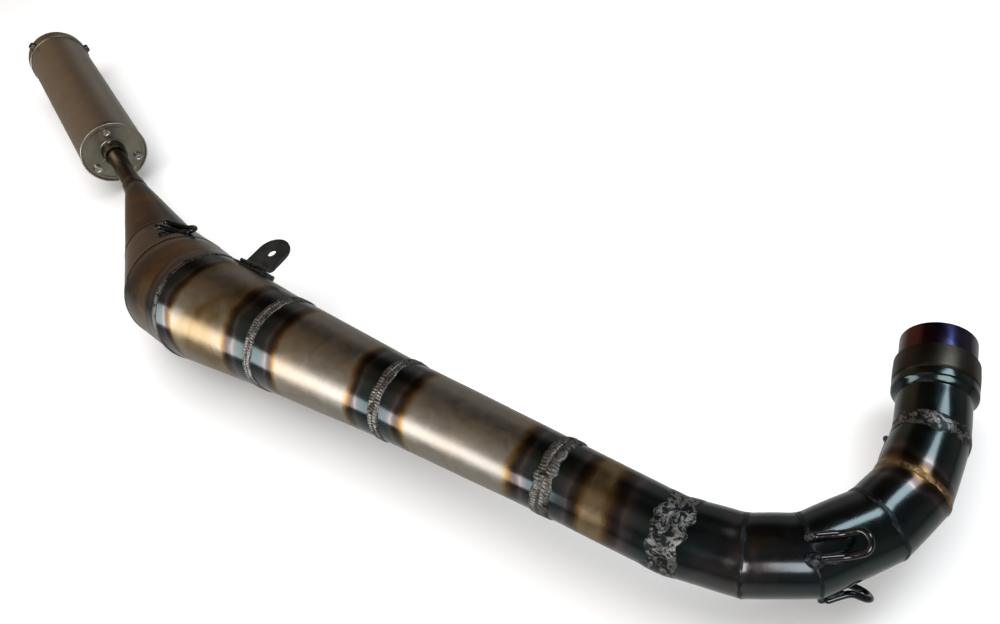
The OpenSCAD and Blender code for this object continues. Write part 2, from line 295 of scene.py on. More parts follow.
def lump(name: str, stand: Stand, size: tuple[float, float, float], seed: int, rough: float = 0.16
         ) -> bpy.types.Object:
    """Blob of weld metal: an ellipsoid (x cos a sin b, y sin a sin b, z cos b) swollen by smooth noise.

    Args:
        name: The piece's name.
        stand: Its middle and its directions.
        size: Half its length along each direction.
        seed: Seed of the noise.
        rough: Part of its size by which the noise moves its surface.

    Returns:
        The new object.
    """
    rows, columns = 22, 36
    b = np.linspace(0.06, np.pi - 0.06, rows)[:, None]
    a = circle_angles(columns)[None, :]
    swell = 1 + rough * np.sin(b) * soft_noise((rows, columns), seed, (1.8, 2.4))
    shape = np.stack([np.sin(b) * np.cos(a), np.sin(b) * np.sin(a), np.cos(b) + 0 * a], axis=-1)
    return surface(name, stand.world(shape * swell[..., None] * np.array(size)), False, sharp=80.0)


# ---------------------------------------------------------------- finishes

Colour = tuple[float, float, float]
Socket = bpy.types.NodeSocket


def put(tree: bpy.types.NodeTree, kind: str, inputs: dict | None = None, **settings: object
        ) -> bpy.types.Node:
    """Adds a node, sets its properties, and fills its inputs with values or links.

    Args:
        tree: The node tree.
        kind: The node's type, without its ShaderNode prefix.
        inputs: Values or output sockets, by input name or number.
        **settings: Properties of the node.

    Returns:
        The node.
    """
    made = tree.nodes.new("ShaderNode" + kind)
    for key, value in settings.items():
        setattr(made, key, value)
    for key, value in (inputs or {}).items():
        if isinstance(value, Socket):
            tree.links.new(value, made.inputs[key])
        else:
            made.inputs[key].default_value = value
    return made


def sums(tree: bpy.types.NodeTree, operation: str, *terms: object) -> Socket:
    """The result of one Math node on the given terms."""
    return put(tree, "Math", dict(enumerate(terms)), operation=operation).outputs[0]


def spread(tree: bpy.types.NodeTree, value: Socket, low: float, high: float, to_low: float, to_high: float
           ) -> Socket:
    """Maps a value from one range to another, held at both ends."""
    places = {"Value": value, "From Min": low, "From Max": high, "To Min": to_low, "To Max": to_high}
    return put(tree, "MapRange", places).outputs["Result"]


def ramp(tree: bpy.types.NodeTree, value: Socket, stops: dict[float, Colour]) -> Socket:
    """A colour ramp over the given places, which stay between 0 and 1."""
    node = put(tree, "ValToRGB", {"Fac": value})
    elements = node.color_ramp.elements
    places = sorted(stops)
    while len(elements) < len(places):
        elements.new(0.5)
    for element, place in zip(elements, places):
        element.position = place
    for element, place in zip(elements, places):
        element.color = (*stops[place], 1.0)
    return node.outputs["Color"]


def blended(tree: bpy.types.NodeTree, factor: Socket, low: object, high: object) -> Socket:
    """Mixes two colours by a factor."""
    mix = put(tree, "Mix", data_type="RGBA")
    for socket, value in ((mix.inputs[0], factor), (mix.inputs[6], low), (mix.inputs[7], high)):
        if isinstance(value, Socket):
            tree.links.new(value, socket)
        else:
            socket.default_value = (*value, 1.0)
    return mix.outputs[2]


def noise(tree: bpy.types.NodeTree, scale: float, detail: float = 3.0, where: Socket | None = None,
          warp: float = 0.0) -> Socket:
    """Noise on object coordinates, or on the given vector, as a value between 0 and 1."""
    if where is None:
        where = put(tree, "TexCoord").outputs["Object"]
    node = put(tree, "TexNoise", {"Vector": where, "Scale": scale, "Detail": detail, "Distortion": warp})
    return node.outputs[0]


def group(name: str, inputs: dict[str, float], outputs: dict[str, str]) -> tuple:
    """Makes an empty shader node group.

    Args:
        name: The group's name.
        inputs: Input names with their starting values.
        outputs: Output names with their kinds, Float or Color.

    Returns:
        The group's tree, its input node and its output node.
    """
    tree = bpy.data.node_groups.new(name, "ShaderNodeTree")
    for key, value in inputs.items():
        socket = tree.interface.new_socket(key, in_out="INPUT", socket_type="NodeSocketFloat")
        socket.default_value = value
    for key, kind in outputs.items():
        tree.interface.new_socket(key, in_out="OUTPUT", socket_type="NodeSocket" + kind)
    return tree, tree.nodes.new("NodeGroupInput"), tree.nodes.new("NodeGroupOutput")


def weld_heat_group() -> bpy.types.NodeTree:
    """How hot each place of a sheet got, from its distances to the welds at its two ends.

    Heat = middle + (end - middle) (1 - distance / reach), for each end in turn, plus a blotch of noise.
    The distances waver by a few millimetres of noise, so the bands of colour aren't drawn with a ruler.
    """
    tree, given, result = group(
        "weld_heat",
        {"From Start": 0.1, "From End": 0.1, "Start": 1.0, "Middle": 0.0, "End": 1.0,
         "Start Reach": 0.029, "End Reach": 0.029, "Blotch": 0.06},
        {"Heat": "Float"})
    take = given.outputs
    waver = spread(tree, noise(tree, 34, 2), 0.3, 0.7, -0.0022, 0.0022)
    fine = spread(tree, noise(tree, 260, 2), 0.3, 0.7, -0.0004, 0.0004)
    waver = sums(tree, "ADD", waver, fine)
    heat = take["Middle"]
    for end in ("Start", "End"):
        far = sums(tree, "ADD", take["From " + end], waver)
        near = sums(tree, "SUBTRACT", 1.0, sums(tree, "DIVIDE", far, take[end + " Reach"]))
        near = spread(tree, near, 0, 1, 0, 1)
        step = sums(tree, "MULTIPLY", near, sums(tree, "SUBTRACT", take[end], take["Middle"]))
        heat = sums(tree, "ADD", heat, step)
    cloud = spread(tree, noise(tree, 17, 3, warp=0.4), 0.36, 0.74, -0.5, 1.0)
    heat = sums(tree, "MULTIPLY_ADD", cloud, take["Blotch"], heat)
    tree.links.new(heat, result.inputs["Heat"])
    return tree


def oxide_group() -> bpy.types.NodeTree:
    """Temper colours of steel: straw, dark brown, purple and blue-black as the heat goes from 0 to 1."""
    tree, given, result = group(
        "oxide_colours", {"Heat": 0.0}, {"Colour": "Color", "Roughness": "Float", "Coat": "Float"})
    heat = given.outputs["Heat"]
    colour = ramp(tree, heat, {
        0.0: (0.43, 0.39, 0.345), 0.05: (0.42, 0.36, 0.285), 0.12: (0.34, 0.245, 0.13),
        0.18: (0.23, 0.135, 0.052), 0.25: (0.105, 0.056, 0.030), 0.32: (0.05, 0.032, 0.027),
        0.39: (0.055, 0.044, 0.043), 0.46: (0.13, 0.11, 0.105), 0.54: (0.075, 0.068, 0.072),
        0.62: (0.042, 0.054, 0.060), 0.73: (0.030, 0.052, 0.052), 0.85: (0.026, 0.038, 0.044),
        1.0: (0.042, 0.047, 0.05),
    })
    streak = noise(tree, 70, 4, warp=1.2)
    shade = spread(tree, streak, 0.25, 0.75, 0.86, 1.12)
    dulled = put(tree, "HueSaturation", {"Color": colour, "Value": shade}).outputs[0]
    rough = spread(tree, heat, 0.04, 0.30, 0.37, 0.20)
    rough = sums(tree, "MULTIPLY_ADD", spread(tree, streak, 0.3, 0.7, -1, 1), 0.035, rough)
    tree.links.new(dulled, result.inputs["Colour"])
    tree.links.new(rough, result.inputs["Roughness"])
    tree.links.new(spread(tree, heat, 0.15, 0.42, 0.0, 0.5), result.inputs["Coat"])
    return tree


def grain_group() -> bpy.types.NodeTree:
    """Fine grain and soft handling marks of worked metal: a height for bumps and a mask of smudges."""
    tree, given, result = group("metal_grain", {"Scale": 900.0}, {"Height": "Float", "Smudge": "Float"})
    where = put(tree, "TexCoord").outputs["Object"]
    fine = put(tree, "TexNoise", {"Vector": where, "Scale": given.outputs["Scale"], "Detail": 3.0}).outputs[0]
    pits = spread(tree, noise(tree, 420, 1, where), 0.66, 0.74, 0, -0.8)
    tree.links.new(sums(tree, "ADD", fine, pits), result.inputs["Height"])
    tree.links.new(spread(tree, noise(tree, 46, 4, where, 0.8), 0.35, 0.7, 0, 1), result.inputs["Smudge"])
    return tree


@dataclass(frozen=True)
class Groups:
    """The node groups that several finishes share."""

    heat: bpy.types.NodeTree = field(default_factory=weld_heat_group)
    oxide: bpy.types.NodeTree = field(default_factory=oxide_group)
    grain: bpy.types.NodeTree = field(default_factory=grain_group)


def shaded(name: str, metallic: float = 1.0, **uniform: object) -> tuple:
    """Starts a material with one Principled shader.

    Args:
        name: The material's name.
        metallic: The shader's Metallic.
        **uniform: Values for other shader inputs, with underscores for spaces.

    Returns:
        The material, its tree and the shader node.
    """
    material = bpy.data.materials.new(name)
    material.use_nodes = True
    tree = material.node_tree
    shader = tree.nodes["Principled BSDF"]
    shader.inputs["Metallic"].default_value = metallic
    for key, value in uniform.items():
        shader.inputs[key.replace("_", " ")].default_value = value
    return material, tree, shader


def bumped(tree: bpy.types.NodeTree, shader: bpy.types.Node, height: Socket, strength: float,
           distance: float) -> None:
    """Sends a height through a Bump node to the shader's Normal."""
    bump = put(tree, "Bump", {"Height": height, "Strength": strength, "Distance": distance})
    tree.links.new(bump.outputs[0], shader.inputs["Normal"])


@dataclass(frozen=True)
class HeatedSteel:
    """Rolled steel with temper colours beside its welds.

    Heat is 1 at a fresh weld and 0 on bare steel; reach is how far from an end the colours run.
    """

    name: str
    start: float = 1.0
    middle: float = 0.0
    end: float = 1.0
    start_reach: float = 0.0335
    end_reach: float = 0.0335
    blotch: float = 0.06

    def make(self, groups: Groups) -> bpy.types.Material:
        """Builds the material from the shared groups."""
        material, tree, shader = shaded(self.name, Coat_Roughness=0.12, Coat_IOR=1.6)
        heat = put(tree, "Group", node_tree=groups.heat)
        for key, mark in (("From Start", "from_start"), ("From End", "from_end")):
            distance = put(tree, "Attribute", attribute_name=mark).outputs["Fac"]
            tree.links.new(distance, heat.inputs[key])
        for key, value in (("Start", self.start), ("Middle", self.middle), ("End", self.end),
                           ("Start Reach", self.start_reach), ("End Reach", self.end_reach),
                           ("Blotch", self.blotch)):
            heat.inputs[key].default_value = value
        oxide = put(tree, "Group", node_tree=groups.oxide)
        tree.links.new(heat.outputs["Heat"], oxide.inputs["Heat"])
        tree.links.new(oxide.outputs["Colour"], shader.inputs["Base Color"])
        tree.links.new(oxide.outputs["Roughness"], shader.inputs["Roughness"])
        tree.links.new(oxide.outputs["Coat"], shader.inputs["Coat Weight"])
        grain = put(tree, "Group", node_tree=groups.grain)
        bumped(tree, shader, grain.outputs["Height"], 0.05, 0.0004)
        return material


@dataclass(frozen=True)
class WornMetal:
    """A metal whose colour and gloss drift between two states with its handling marks."""

    name: str
    plain: Colour
    marked: Colour
    rough_from: float
    rough_to: float
    metallic: float = 1.0
    coat: float = 0.0
    bump: float = 0.08
    scale: float = 900.0

    def make(self, groups: Groups) -> bpy.types.Material:
        """Builds the material from the shared groups."""
        material, tree, shader = shaded(
            self.name, self.metallic, Coat_Weight=self.coat, Coat_Roughness=0.15)
        grain = put(tree, "Group", {"Scale": self.scale}, node_tree=groups.grain)
        smudge = grain.outputs["Smudge"]
        tree.links.new(blended(tree, smudge, self.plain, self.marked), shader.inputs["Base Color"])
        rough = spread(tree, smudge, 0, 1, self.rough_from, self.rough_to)
        tree.links.new(rough, shader.inputs["Roughness"])
        bumped(tree, shader, grain.outputs["Height"], self.bump, 0.0005)
        return material


@dataclass(frozen=True)
class WeldMetal:
    """Weld metal: crests lightened as painted highlight, valleys darkened as painted shade, scale marks, and
    bare oxide where the patch noise is low.
    """

    name: str
    # The first colour is the weld metal with a painted highlight on high ripples; the second is oxide, also
    # used as painted shade in the hollows.
    crest: Colour
    valley_shade_and_oxide: Colour
    slag: float
    edge: float = 0.05
    patches: float = 130.0

    def make(self, groups: Groups) -> bpy.types.Material:
        """Builds the material. The crest attribute is the ripple's height from 0 to 1; it lightens the colour
        on crests as painted highlight and darkens it in valleys as painted shade.
        """
        material, tree, shader = shaded(self.name)
        crest = put(tree, "Attribute", attribute_name="crest").outputs["Fac"]
        scale = noise(tree, 620, 5, warp=1.0)
        patch = noise(tree, self.patches, 6, warp=1.3)
        # Painted light: crest height gives a painted highlight on high ripples and painted shade in low ones,
        # mixed with real scale noise.
        painted_light_and_scale = sums(tree, "MULTIPLY_ADD", crest, 0.55, sums(tree, "MULTIPLY_ADD", scale, 1.5, -0.55))
        colour = blended(tree, spread(tree, painted_light_and_scale, 0.1, 0.9, 0, 1), self.valley_shade_and_oxide, self.crest)
        bare = spread(tree, patch, self.slag - self.edge, self.slag + self.edge, 0, 1)
        tree.links.new(blended(tree, bare, self.valley_shade_and_oxide, colour), shader.inputs["Base Color"])
        tree.links.new(spread(tree, scale, 0.3, 0.7, 0.26, 0.5), shader.inputs["Roughness"])
        bumped(tree, shader, sums(tree, "MULTIPLY_ADD", bare, 0.5, scale), 0.5, 0.0006)
        return material


@dataclass(frozen=True)
class TurnedAluminium:
    """Satin aluminium with fine lines round one axis."""

    name: str
    axis: tuple[float, float, float]
    plain: Colour
    marked: Colour
    roughness: float
    lines: float = 0.05

    def make(self, groups: Groups) -> bpy.types.Material:
        """Builds the material: the noise is stretched across the axis, so its lines run round it."""
        material, tree, shader = shaded(self.name)
        where = put(tree, "TexCoord").outputs["Object"]
        along = put(tree, "VectorMath", {0: where, 1: self.axis}, operation="DOT_PRODUCT").outputs["Value"]
        squeezed = put(tree, "VectorMath", {0: where, "Scale": 12.0}, operation="SCALE").outputs[0]
        shift = put(tree, "VectorMath", {0: self.axis, "Scale": sums(tree, "MULTIPLY", along, 1800.0)},
                    operation="SCALE").outputs[0]
        fine = put(tree, "VectorMath", {0: squeezed, 1: shift}, operation="ADD").outputs[0]
        line = noise(tree, 1.0, 3, fine)
        grain = put(tree, "Group", {"Scale": 700.0}, node_tree=groups.grain)
        colour = blended(tree, grain.outputs["Smudge"], self.plain, self.marked)
        shade = spread(tree, line, 0.3, 0.7, 0.93, 1.05)
        colour = put(tree, "HueSaturation", {"Color": colour, "Value": shade}).outputs[0]
        tree.links.new(colour, shader.inputs["Base Color"])
        rough = sums(tree, "MULTIPLY_ADD", sums(tree, "SUBTRACT", line, 0.5), 0.16, self.roughness)
        tree.links.new(rough, shader.inputs["Roughness"])
        relief = sums(tree, "MULTIPLY_ADD", grain.outputs["Height"], 0.4, line)
        bumped(tree, shader, relief, self.lines, 0.0002)
        return material


@dataclass(frozen=True)
class PurpleOxideWithPaintedSheen:
    """Thick oxide on the sleeve: maroon on one side, violet and blue on the other, with a bright blue band
    that is a painted highlight.
    """

    name: str

    def make(self, groups: Groups) -> bpy.types.Material:
        """Builds the material: the colours run across the sleeve, moved about by noise."""
        material, tree, shader = shaded(self.name, Coat_Weight=0.25, Coat_Roughness=0.12)
        where = put(tree, "TexCoord").outputs["Object"]
        across = put(tree, "SeparateXYZ", {0: where}).outputs["X"]
        moved = sums(tree, "MULTIPLY_ADD", noise(tree, 90, 3, where), 0.012, across)
        # The bright blue stop at 0.60 is a painted highlight on the blue oxide; the other stops are the
        # oxide's own colours.
        colour = ramp(tree, spread(tree, moved, -0.020, 0.032, 0, 1), {
            0.0: (0.06, 0.035, 0.038), 0.22: (0.15, 0.035, 0.045), 0.45: (0.075, 0.032, 0.08),
            0.60: (0.07, 0.09, 0.27), 0.74: (0.05, 0.035, 0.09), 1.0: (0.06, 0.03, 0.04)})
        tree.links.new(colour, shader.inputs["Base Color"])
        grain = put(tree, "Group", node_tree=groups.grain)
        tree.links.new(spread(tree, grain.outputs["Smudge"], 0, 1, 0.17, 0.28), shader.inputs["Roughness"])
        bumped(tree, shader, grain.outputs["Height"], 0.06, 0.0004)
        return material


@dataclass(frozen=True)
class GlassWool:
    """Loose yellow-white fibre."""

    name: str

    def make(self, groups: Groups) -> bpy.types.Material:
        """Builds the material from two sizes of noise."""
        material, tree, shader = shaded(self.name, 0.0, Roughness=0.95)
        tuft = noise(tree, 160, 6, warp=2.0)
        colour = blended(tree, tuft, (0.55, 0.46, 0.22), (0.93, 0.88, 0.66))
        tree.links.new(colour, shader.inputs["Base Color"])
        bumped(tree, shader, tuft, 0.9, 0.002)
        return material


def finished(piece: bpy.types.Object, body: Body, slot: Slot, material: bpy.types.Material, *nodes: str
             ) -> bpy.types.Object:
    """Dresses a piece, hangs it on its body, and says which CAD nodes it stands for."""
    piece.data.materials.append(material)
    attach(piece, body.value)
    if nodes:
        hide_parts(*nodes)
    faces = len(piece.data.polygons)
    LOG.info("%s: %d faces on %s, for %s", piece.name, faces, body.value, nodes or "detail")
    return piece


def dressed(node: str, material: bpy.types.Material) -> None:
    """Gives a CAD node that stays in view its finish."""
    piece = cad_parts[node]
    piece.data.materials.clear()
    piece.data.materials.append(material)
    LOG.info("%s keeps its own mesh", node)


# ---------------------------------------------------------------- the pipe's route


@dataclass(frozen=True)
class Joint:
    """A welded joint: the length, heading and tilt of the piece that ends there, and its outside radius."""

    length: float
    heading: float
    tilt: float
    radius: float


ROUTE = (
    Joint(0.0, -90, 0, 0.0240),
    Joint(0.0334, -90, 0, 0.0240),
    Joint(0.043, -102, 2, 0.0250),
    Joint(0.034, -121.5, 2, 0.0255),
    Joint(0.0482, -139.9, 3.5, 0.0262),
    Joint(0.0386, -168.4, -4.4, 0.0268),
    Joint(0.046, 178, 5, 0.0265),
    Joint(0.087, 166, 4, 0.0282),
    Joint(0.152, 165, -1, 0.0332),
    Joint(0.140, 165, -1, 0.0421),
    Joint(0.112, 165, -1, 0.0518),
    Joint(0.060, 154.5, -13, 0.0541),
    Joint(0.069, 143.5, -3.5, 0.0391),
    Joint(0.134, 139.5, 2, 0.0120),
    Joint(0.100, 143.7, -1, 0.0120),
)
SOCKET_FLOOR = -0.0459
TAIL = 13
SHEET = 0.0012


class Pipe:
    """The run of cones between the joints, each cut where it meets the next.

    Piece i ends at joint i. A point of its skin is P + s d + r(s) e: P is the joint before it, d its axis,
    e a unit vector square to d at some turn, and r(s) = (R + s sin A + lift) / cos A for the half angle A.
    Two cones round one sphere meet in a plane, whose normal is d1 / cos A1 + d2 / cos A2.
    """

    def __init__(self, joints: tuple[Joint, ...], start: Array) -> None:
        """Works out each joint's place and cut.

        Args:
            joints: The route's joints.
            start: The place of the first one.
        """
        heading = np.radians([j.heading for j in joints])
        tilt = np.radians([j.tilt for j in joints])
        length = np.array([j.length for j in joints])
        self.length = length
        self.radius = np.array([j.radius for j in joints])
        self.way = np.stack(
            [np.cos(heading) * np.cos(tilt), np.sin(heading) * np.cos(tilt), np.sin(tilt)], axis=1)
        self.place = start + np.cumsum(length[:, None] * self.way, axis=0)
        growth = np.diff(self.radius, prepend=self.radius[0])
        self.half = np.arcsin(growth / np.where(length > 0, length, 1.0))
        self.cross = unit(np.cross([0.0, 0.0, 1.0], self.way))
        self.lift = np.cross(self.way, self.cross)
        self.cut = self.way.copy()
        self.cut[0] = self.way[1]
        split = self.way / np.cos(self.half)[:, None]
        self.cut[1:-1] = split[1:-1] + split[2:]
        shift = np.zeros(len(joints))
        lean = np.tan(self.half)
        shift[1:-1] = -self.radius[1:-1] * (lean[1:-1] + lean[2:]) / np.linalg.norm(self.cut[1:-1], axis=1)
        self.cut = unit(self.cut)
        self.cut_point = self.place + shift[:, None] * self.cut

    def out(self, i: int, turn: Array) -> Array:
        """Unit vectors square to piece i's axis at the given turns."""
        return np.cos(turn)[..., None] * self.cross[i] + np.sin(turn)[..., None] * self.lift[i]

    def skin(self, i: int, along: Array, turn: Array, lift: Array | float = 0.0) -> Array:
        """Points of piece i's skin, raised square to it by lift."""
        grown = (self.radius[i - 1] + along * np.sin(self.half[i]) + lift) / np.cos(self.half[i])
        return self.place[i - 1] + along[..., None] * self.way[i] + grown[..., None] * self.out(i, turn)

    def edge(self, i: int, joint: int, turn: Array, lift: float = 0.0) -> Array:
        """How far along piece i its skin meets the cut at a joint, at each turn."""
        out = self.out(i, turn) @ self.cut[joint]
        level = (self.cut_point[joint] - self.place[i - 1]) @ self.cut[joint]
        base = (self.radius[i - 1] + lift) / np.cos(self.half[i])
        return (level - base * out) / (self.way[i] @ self.cut[joint] + np.tan(self.half[i]) * out)

    def stand(self, i: int, along: float, degrees: float) -> Stand:
        """A stand on piece i's skin: x along the pipe and z straight out of it."""
        out = self.out(i, np.radians(np.array(degrees)))
        radius = (self.radius[i - 1] + along * np.sin(self.half[i])) / np.cos(self.half[i])
        origin = self.place[i - 1] + along * self.way[i] + radius * out
        return Stand(origin, np.stack([self.way[i], np.cross(out, self.way[i]), out]))

    def axis(self, i: int, joint: int) -> Stand:
        """A stand at a joint with z along piece i."""
        return Stand(self.place[joint], np.stack([-self.lift[i], self.cross[i], self.way[i]]))


# ---------------------------------------------------------------- sheets and welds


@dataclass(frozen=True)
class Bead:
    """One weld: its joint, its size, how many runs lie side by side, and how uneven they are."""

    node: str
    joint: int
    finish: WeldMetal
    width: float
    height: float
    runs: int
    ragged: float
    flaky: float
    pitch: float = 0.0024
    ripple: float = 0.38


@dataclass
class WeldedPipe:
    """The rolled sheets from the slip joint to the tail, and the welds between them."""

    pipe: Pipe
    groups: Groups
    sides: int = 216
    row_step: float = 0.0016
    dent: float = 0.00016
    pull: float = 0.00028
    header_sheets: int = 6
    seam_radius: float = 0.0016
    seam_turn: float = -78.0
    seam_depth: float = 0.0009

    def sheets(self) -> dict[str, HeatedSteel]:
        """Every sheet's node with its finish, in order along the pipe."""
        return {
            "header_neck": HeatedSteel("neck_oxide", 0.64, 0.70, 0.86, 0.010, 0.018, 0.12),
            "bend_segment_1": HeatedSteel("first_bend_oxide", 0.82, 0.72, 0.10, 0.014, 0.021, 0.12),
            "bend_segment_2": HeatedSteel("second_bend_oxide", 0.13, 0.66, 0.76, 0.017, 0.010, 0.16),
            "bend_segment_3": HeatedSteel("third_bend_oxide", 0.76, 0.68, 0.66, 0.012, 0.020, 0.20),
            "bend_segment_4": HeatedSteel("fourth_bend_oxide", 0.70, 0.64, 0.56, 0.012, 0.012, 0.20),
            "bend_segment_5": HeatedSteel("last_bend_oxide", 0.56, 0.62, 0.95, 0.012, 0.020, 0.22),
            "diffuser_cone_1": HeatedSteel("golden_cone_steel", 1.0, 0.165, 1.0, 0.044, 0.031, 0.10),
            "diffuser_cone_2": HeatedSteel("long_cone_steel", middle=0.015, blotch=0.07),
            "diffuser_cone_3": HeatedSteel("middle_cone_steel", middle=0.02, blotch=0.08),
            "diffuser_cone_4": HeatedSteel("wide_cone_steel", middle=0.04, blotch=0.14, end_reach=0.027),
            "belly_band": HeatedSteel("belly_steel", 0.84, 0.21, 0.46, 0.021, 0.017, 0.14),
            "belly_cone": HeatedSteel("belly_cone_steel", 0.42, 0.29, 0.43, 0.015, 0.017, 0.09),
            "baffle_cone": HeatedSteel("baffle_steel", 0.43, 0.245, 0.42, 0.022, 0.050, 0.11),
        }

    def beads(self) -> tuple[Bead, ...]:
        """Every weld, in order along the pipe."""
        # For each weld metal, the first colour is its crest with a painted highlight, and the second is its
        # oxide with painted shade in the valleys.
        silver = WeldMetal("weld_silver", (0.42, 0.40, 0.37), (0.06, 0.055, 0.05), 0.40)
        grey = WeldMetal("weld_grey", (0.32, 0.30, 0.28), (0.045, 0.042, 0.04), 0.44)
        flaked = WeldMetal("weld_flaked", (0.42, 0.41, 0.39), (0.030, 0.036, 0.038), 0.50, 0.04, 210)
        dark = WeldMetal("weld_dark", (0.045, 0.055, 0.058), (0.028, 0.036, 0.038), 0.34)
        golden = WeldMetal("weld_golden", (0.46, 0.33, 0.18), (0.16, 0.09, 0.035), 0.46, 0.08)
        brown = WeldMetal("weld_brown", (0.20, 0.165, 0.135), (0.05, 0.04, 0.033), 0.42)
        return (
            Bead("neck_weld", 1, flaked, 0.0120, 0.00035, 1, 0.60, 0.5, ripple=0.12),
            Bead("bend_weld_1", 2, golden, 0.0046, 0.00030, 1, 0.60, 0.8, ripple=0.20),
            Bead("bend_weld_2", 3, dark, 0.0040, 0.00020, 1, 0.60, 1.2, ripple=0.15),
            Bead("bend_weld_3", 4, dark, 0.0030, 0.00015, 1, 0.60, 0.8, ripple=0.15),
            Bead("bend_weld_4", 5, dark, 0.0032, 0.00015, 1, 0.60, 0.8, ripple=0.15),
            Bead("header_weld", 6, flaked, 0.0220, 0.00045, 2, 0.42, 0.5, ripple=0.10),
            Bead("diffuser_weld_1", 7, grey, 0.0150, 0.00120, 2, 0.30, 0.6, ripple=0.28),
            Bead("diffuser_weld_2", 8, silver, 0.0105, 0.00100, 2, 0.24, 0.45),
            Bead("diffuser_weld_3", 9, silver, 0.0100, 0.00100, 2, 0.24, 0.45),
            Bead("belly_weld_1", 10, grey, 0.0065, 0.00080, 1, 0.22, 0.3),
            Bead("belly_weld_2", 11, brown, 0.0042, 0.00050, 1, 0.25, 0.3),
            Bead("belly_weld_3", 12, brown, 0.0042, 0.00050, 1, 0.25, 0.3),
            Bead("tail_weld", 13, brown, 0.0050, 0.00080, 1, 0.25, 0.3),
        )

    def sheet(self, i: int, name: str) -> bpy.types.Object:
        """Rolled sheet i: its outer skin with shallow dents, drawn in beside the welds, and its inner wall.

        The lift is dent noise less pull exp(-(d / 9 mm)^2), for the distance d to the nearer weld, and it
        fades to nothing in the last 4 mm so that the edges stay on the joint.
        """
        turn = circle_angles(self.sides)[None, :]
        first, last = self.pipe.edge(i, i - 1, turn), self.pipe.edge(i, i, turn)
        rows = max(12, int(self.pipe.length[i] / self.row_step))
        across = np.linspace(0, 1, rows)[:, None]
        along = first + (last - first) * across
        near, far = along - first, last - along
        edge = np.minimum(near, far)
        ripple = soft_noise((rows, self.sides), 40 + i, (0.010 / self.row_step, self.sides / 26))
        lift = self.dent * ripple - self.pull * np.exp(-(edge / 0.009) ** 2)
        lift = lift * np.clip(edge / 0.004, 0, 1)
        outer = self.pipe.skin(i, along, turn, lift)
        first_in, last_in = self.pipe.edge(i, i - 1, turn, -SHEET), self.pipe.edge(i, i, turn, -SHEET)
        back = np.linspace(1, 0, max(6, rows // 5))[:, None]
        inner_along = first_in + (last_in - first_in) * back
        inner = self.pipe.skin(i, inner_along, turn, -SHEET)
        marks = {
            "from_start": np.concatenate([near, inner_along - first_in]),
            "from_end": np.concatenate([far, last_in - inner_along]),
        }
        return surface(name, np.concatenate([outer, inner]), True, marks)

    def ring(self, bead: Bead, seed: int) -> bpy.types.Object:
        """Weld bead: at each turn its section is an arch over the cut, closed under the sheet.

        The arch is (1 - x^2)^0.6 for one run and sqrt(1 - (2 |x| - 1)^2) + 0.35 (1 - |x|) for two side by
        side. It is times ripples that lean into crescents with x^2, and noise moves its edges and crest.
        """
        i, pipe = bead.joint, self.pipe
        ripples = round(TAU * pipe.radius[i] / bead.pitch)
        columns = ripples * 6
        turn = circle_angles(columns)
        cut = pipe.skin(i, pipe.edge(i, i, turn), turn)
        offset = cut - pipe.place[i]
        other = np.arctan2(offset @ pipe.lift[i + 1], offset @ pipe.cross[i + 1])
        top, under = np.linspace(-1, 1, 17), np.linspace(0.9, -0.9, 4)
        x = np.r_[top, under][:, None]
        waver = soft_noise((8, columns), seed, (0.8, 5.0))
        half = bead.width / 2 * np.where(x < 0, 1 + bead.ragged * waver[0], 1 + bead.ragged * waver[3])
        shift = x * half + bead.width * 0.12 * soft_noise((8, columns), seed + 1, (0.8, 26.0))[0]
        if bead.runs == 2:
            arch = np.sqrt(np.clip(1 - (2 * np.abs(x) - 1) ** 2, 0, 1)) + 0.35 * (1 - np.abs(x))
        else:
            arch = np.clip(1 - x ** 2, 0, 1) ** 0.6
        phase = ripples * turn + 2.4 * x ** 2 + 1.9 * np.sign(x) * (bead.runs - 1)
        lump_shape = soft_noise((len(x), columns), seed + 2, (2.2, 5.0))
        fine = soft_noise((len(x), columns), seed + 3, (1.0, 1.6))
        wave = 0.5 + 0.5 * np.cos(phase)
        rippled = arch * (1 - bead.ripple * (1 - wave)) * (1 + bead.flaky * lump_shape)
        crest = rippled + 0.25 * bead.flaky * arch * fine
        lift = np.where(np.arange(len(x))[:, None] < len(top), bead.height * crest - 0.00012, -0.0006)
        here, there = np.broadcast_to(turn, shift.shape), np.broadcast_to(other, shift.shape)
        before = pipe.skin(i, pipe.edge(i, i, turn) + shift, here, lift)
        after = pipe.skin(i + 1, pipe.edge(i + 1, i, other) + shift, there, lift)
        grid = np.where((shift < 0)[..., None], before, after)
        # The crest height also sets the weld material's painted highlight on crests and painted shade in
        # valleys.
        mark = np.clip(crest / max(arch.max(), 1e-6), 0, 1)
        return surface(bead.node + "_bead", grid, True, {"crest": mark}, 65.0)

    def seam(self, i: int, name: str) -> bpy.types.Object:
        """The closing seam along sheet i, on its lower side: a thin uneven bar sunk in the skin."""
        turn = np.array(np.radians(self.seam_turn))
        first, last = self.pipe.edge(i, i - 1, turn), self.pipe.edge(i, i, turn)
        along = np.arange(first + 0.003, last - 0.003, 0.0007)
        path = self.pipe.skin(i, along, np.full(len(along), turn), -self.seam_depth)
        hint = self.pipe.lift[i] * 0.3 + self.pipe.cross[i]
        return bar(name, path, self.seam_radius, hint, 12, 0.18, 300 + i)

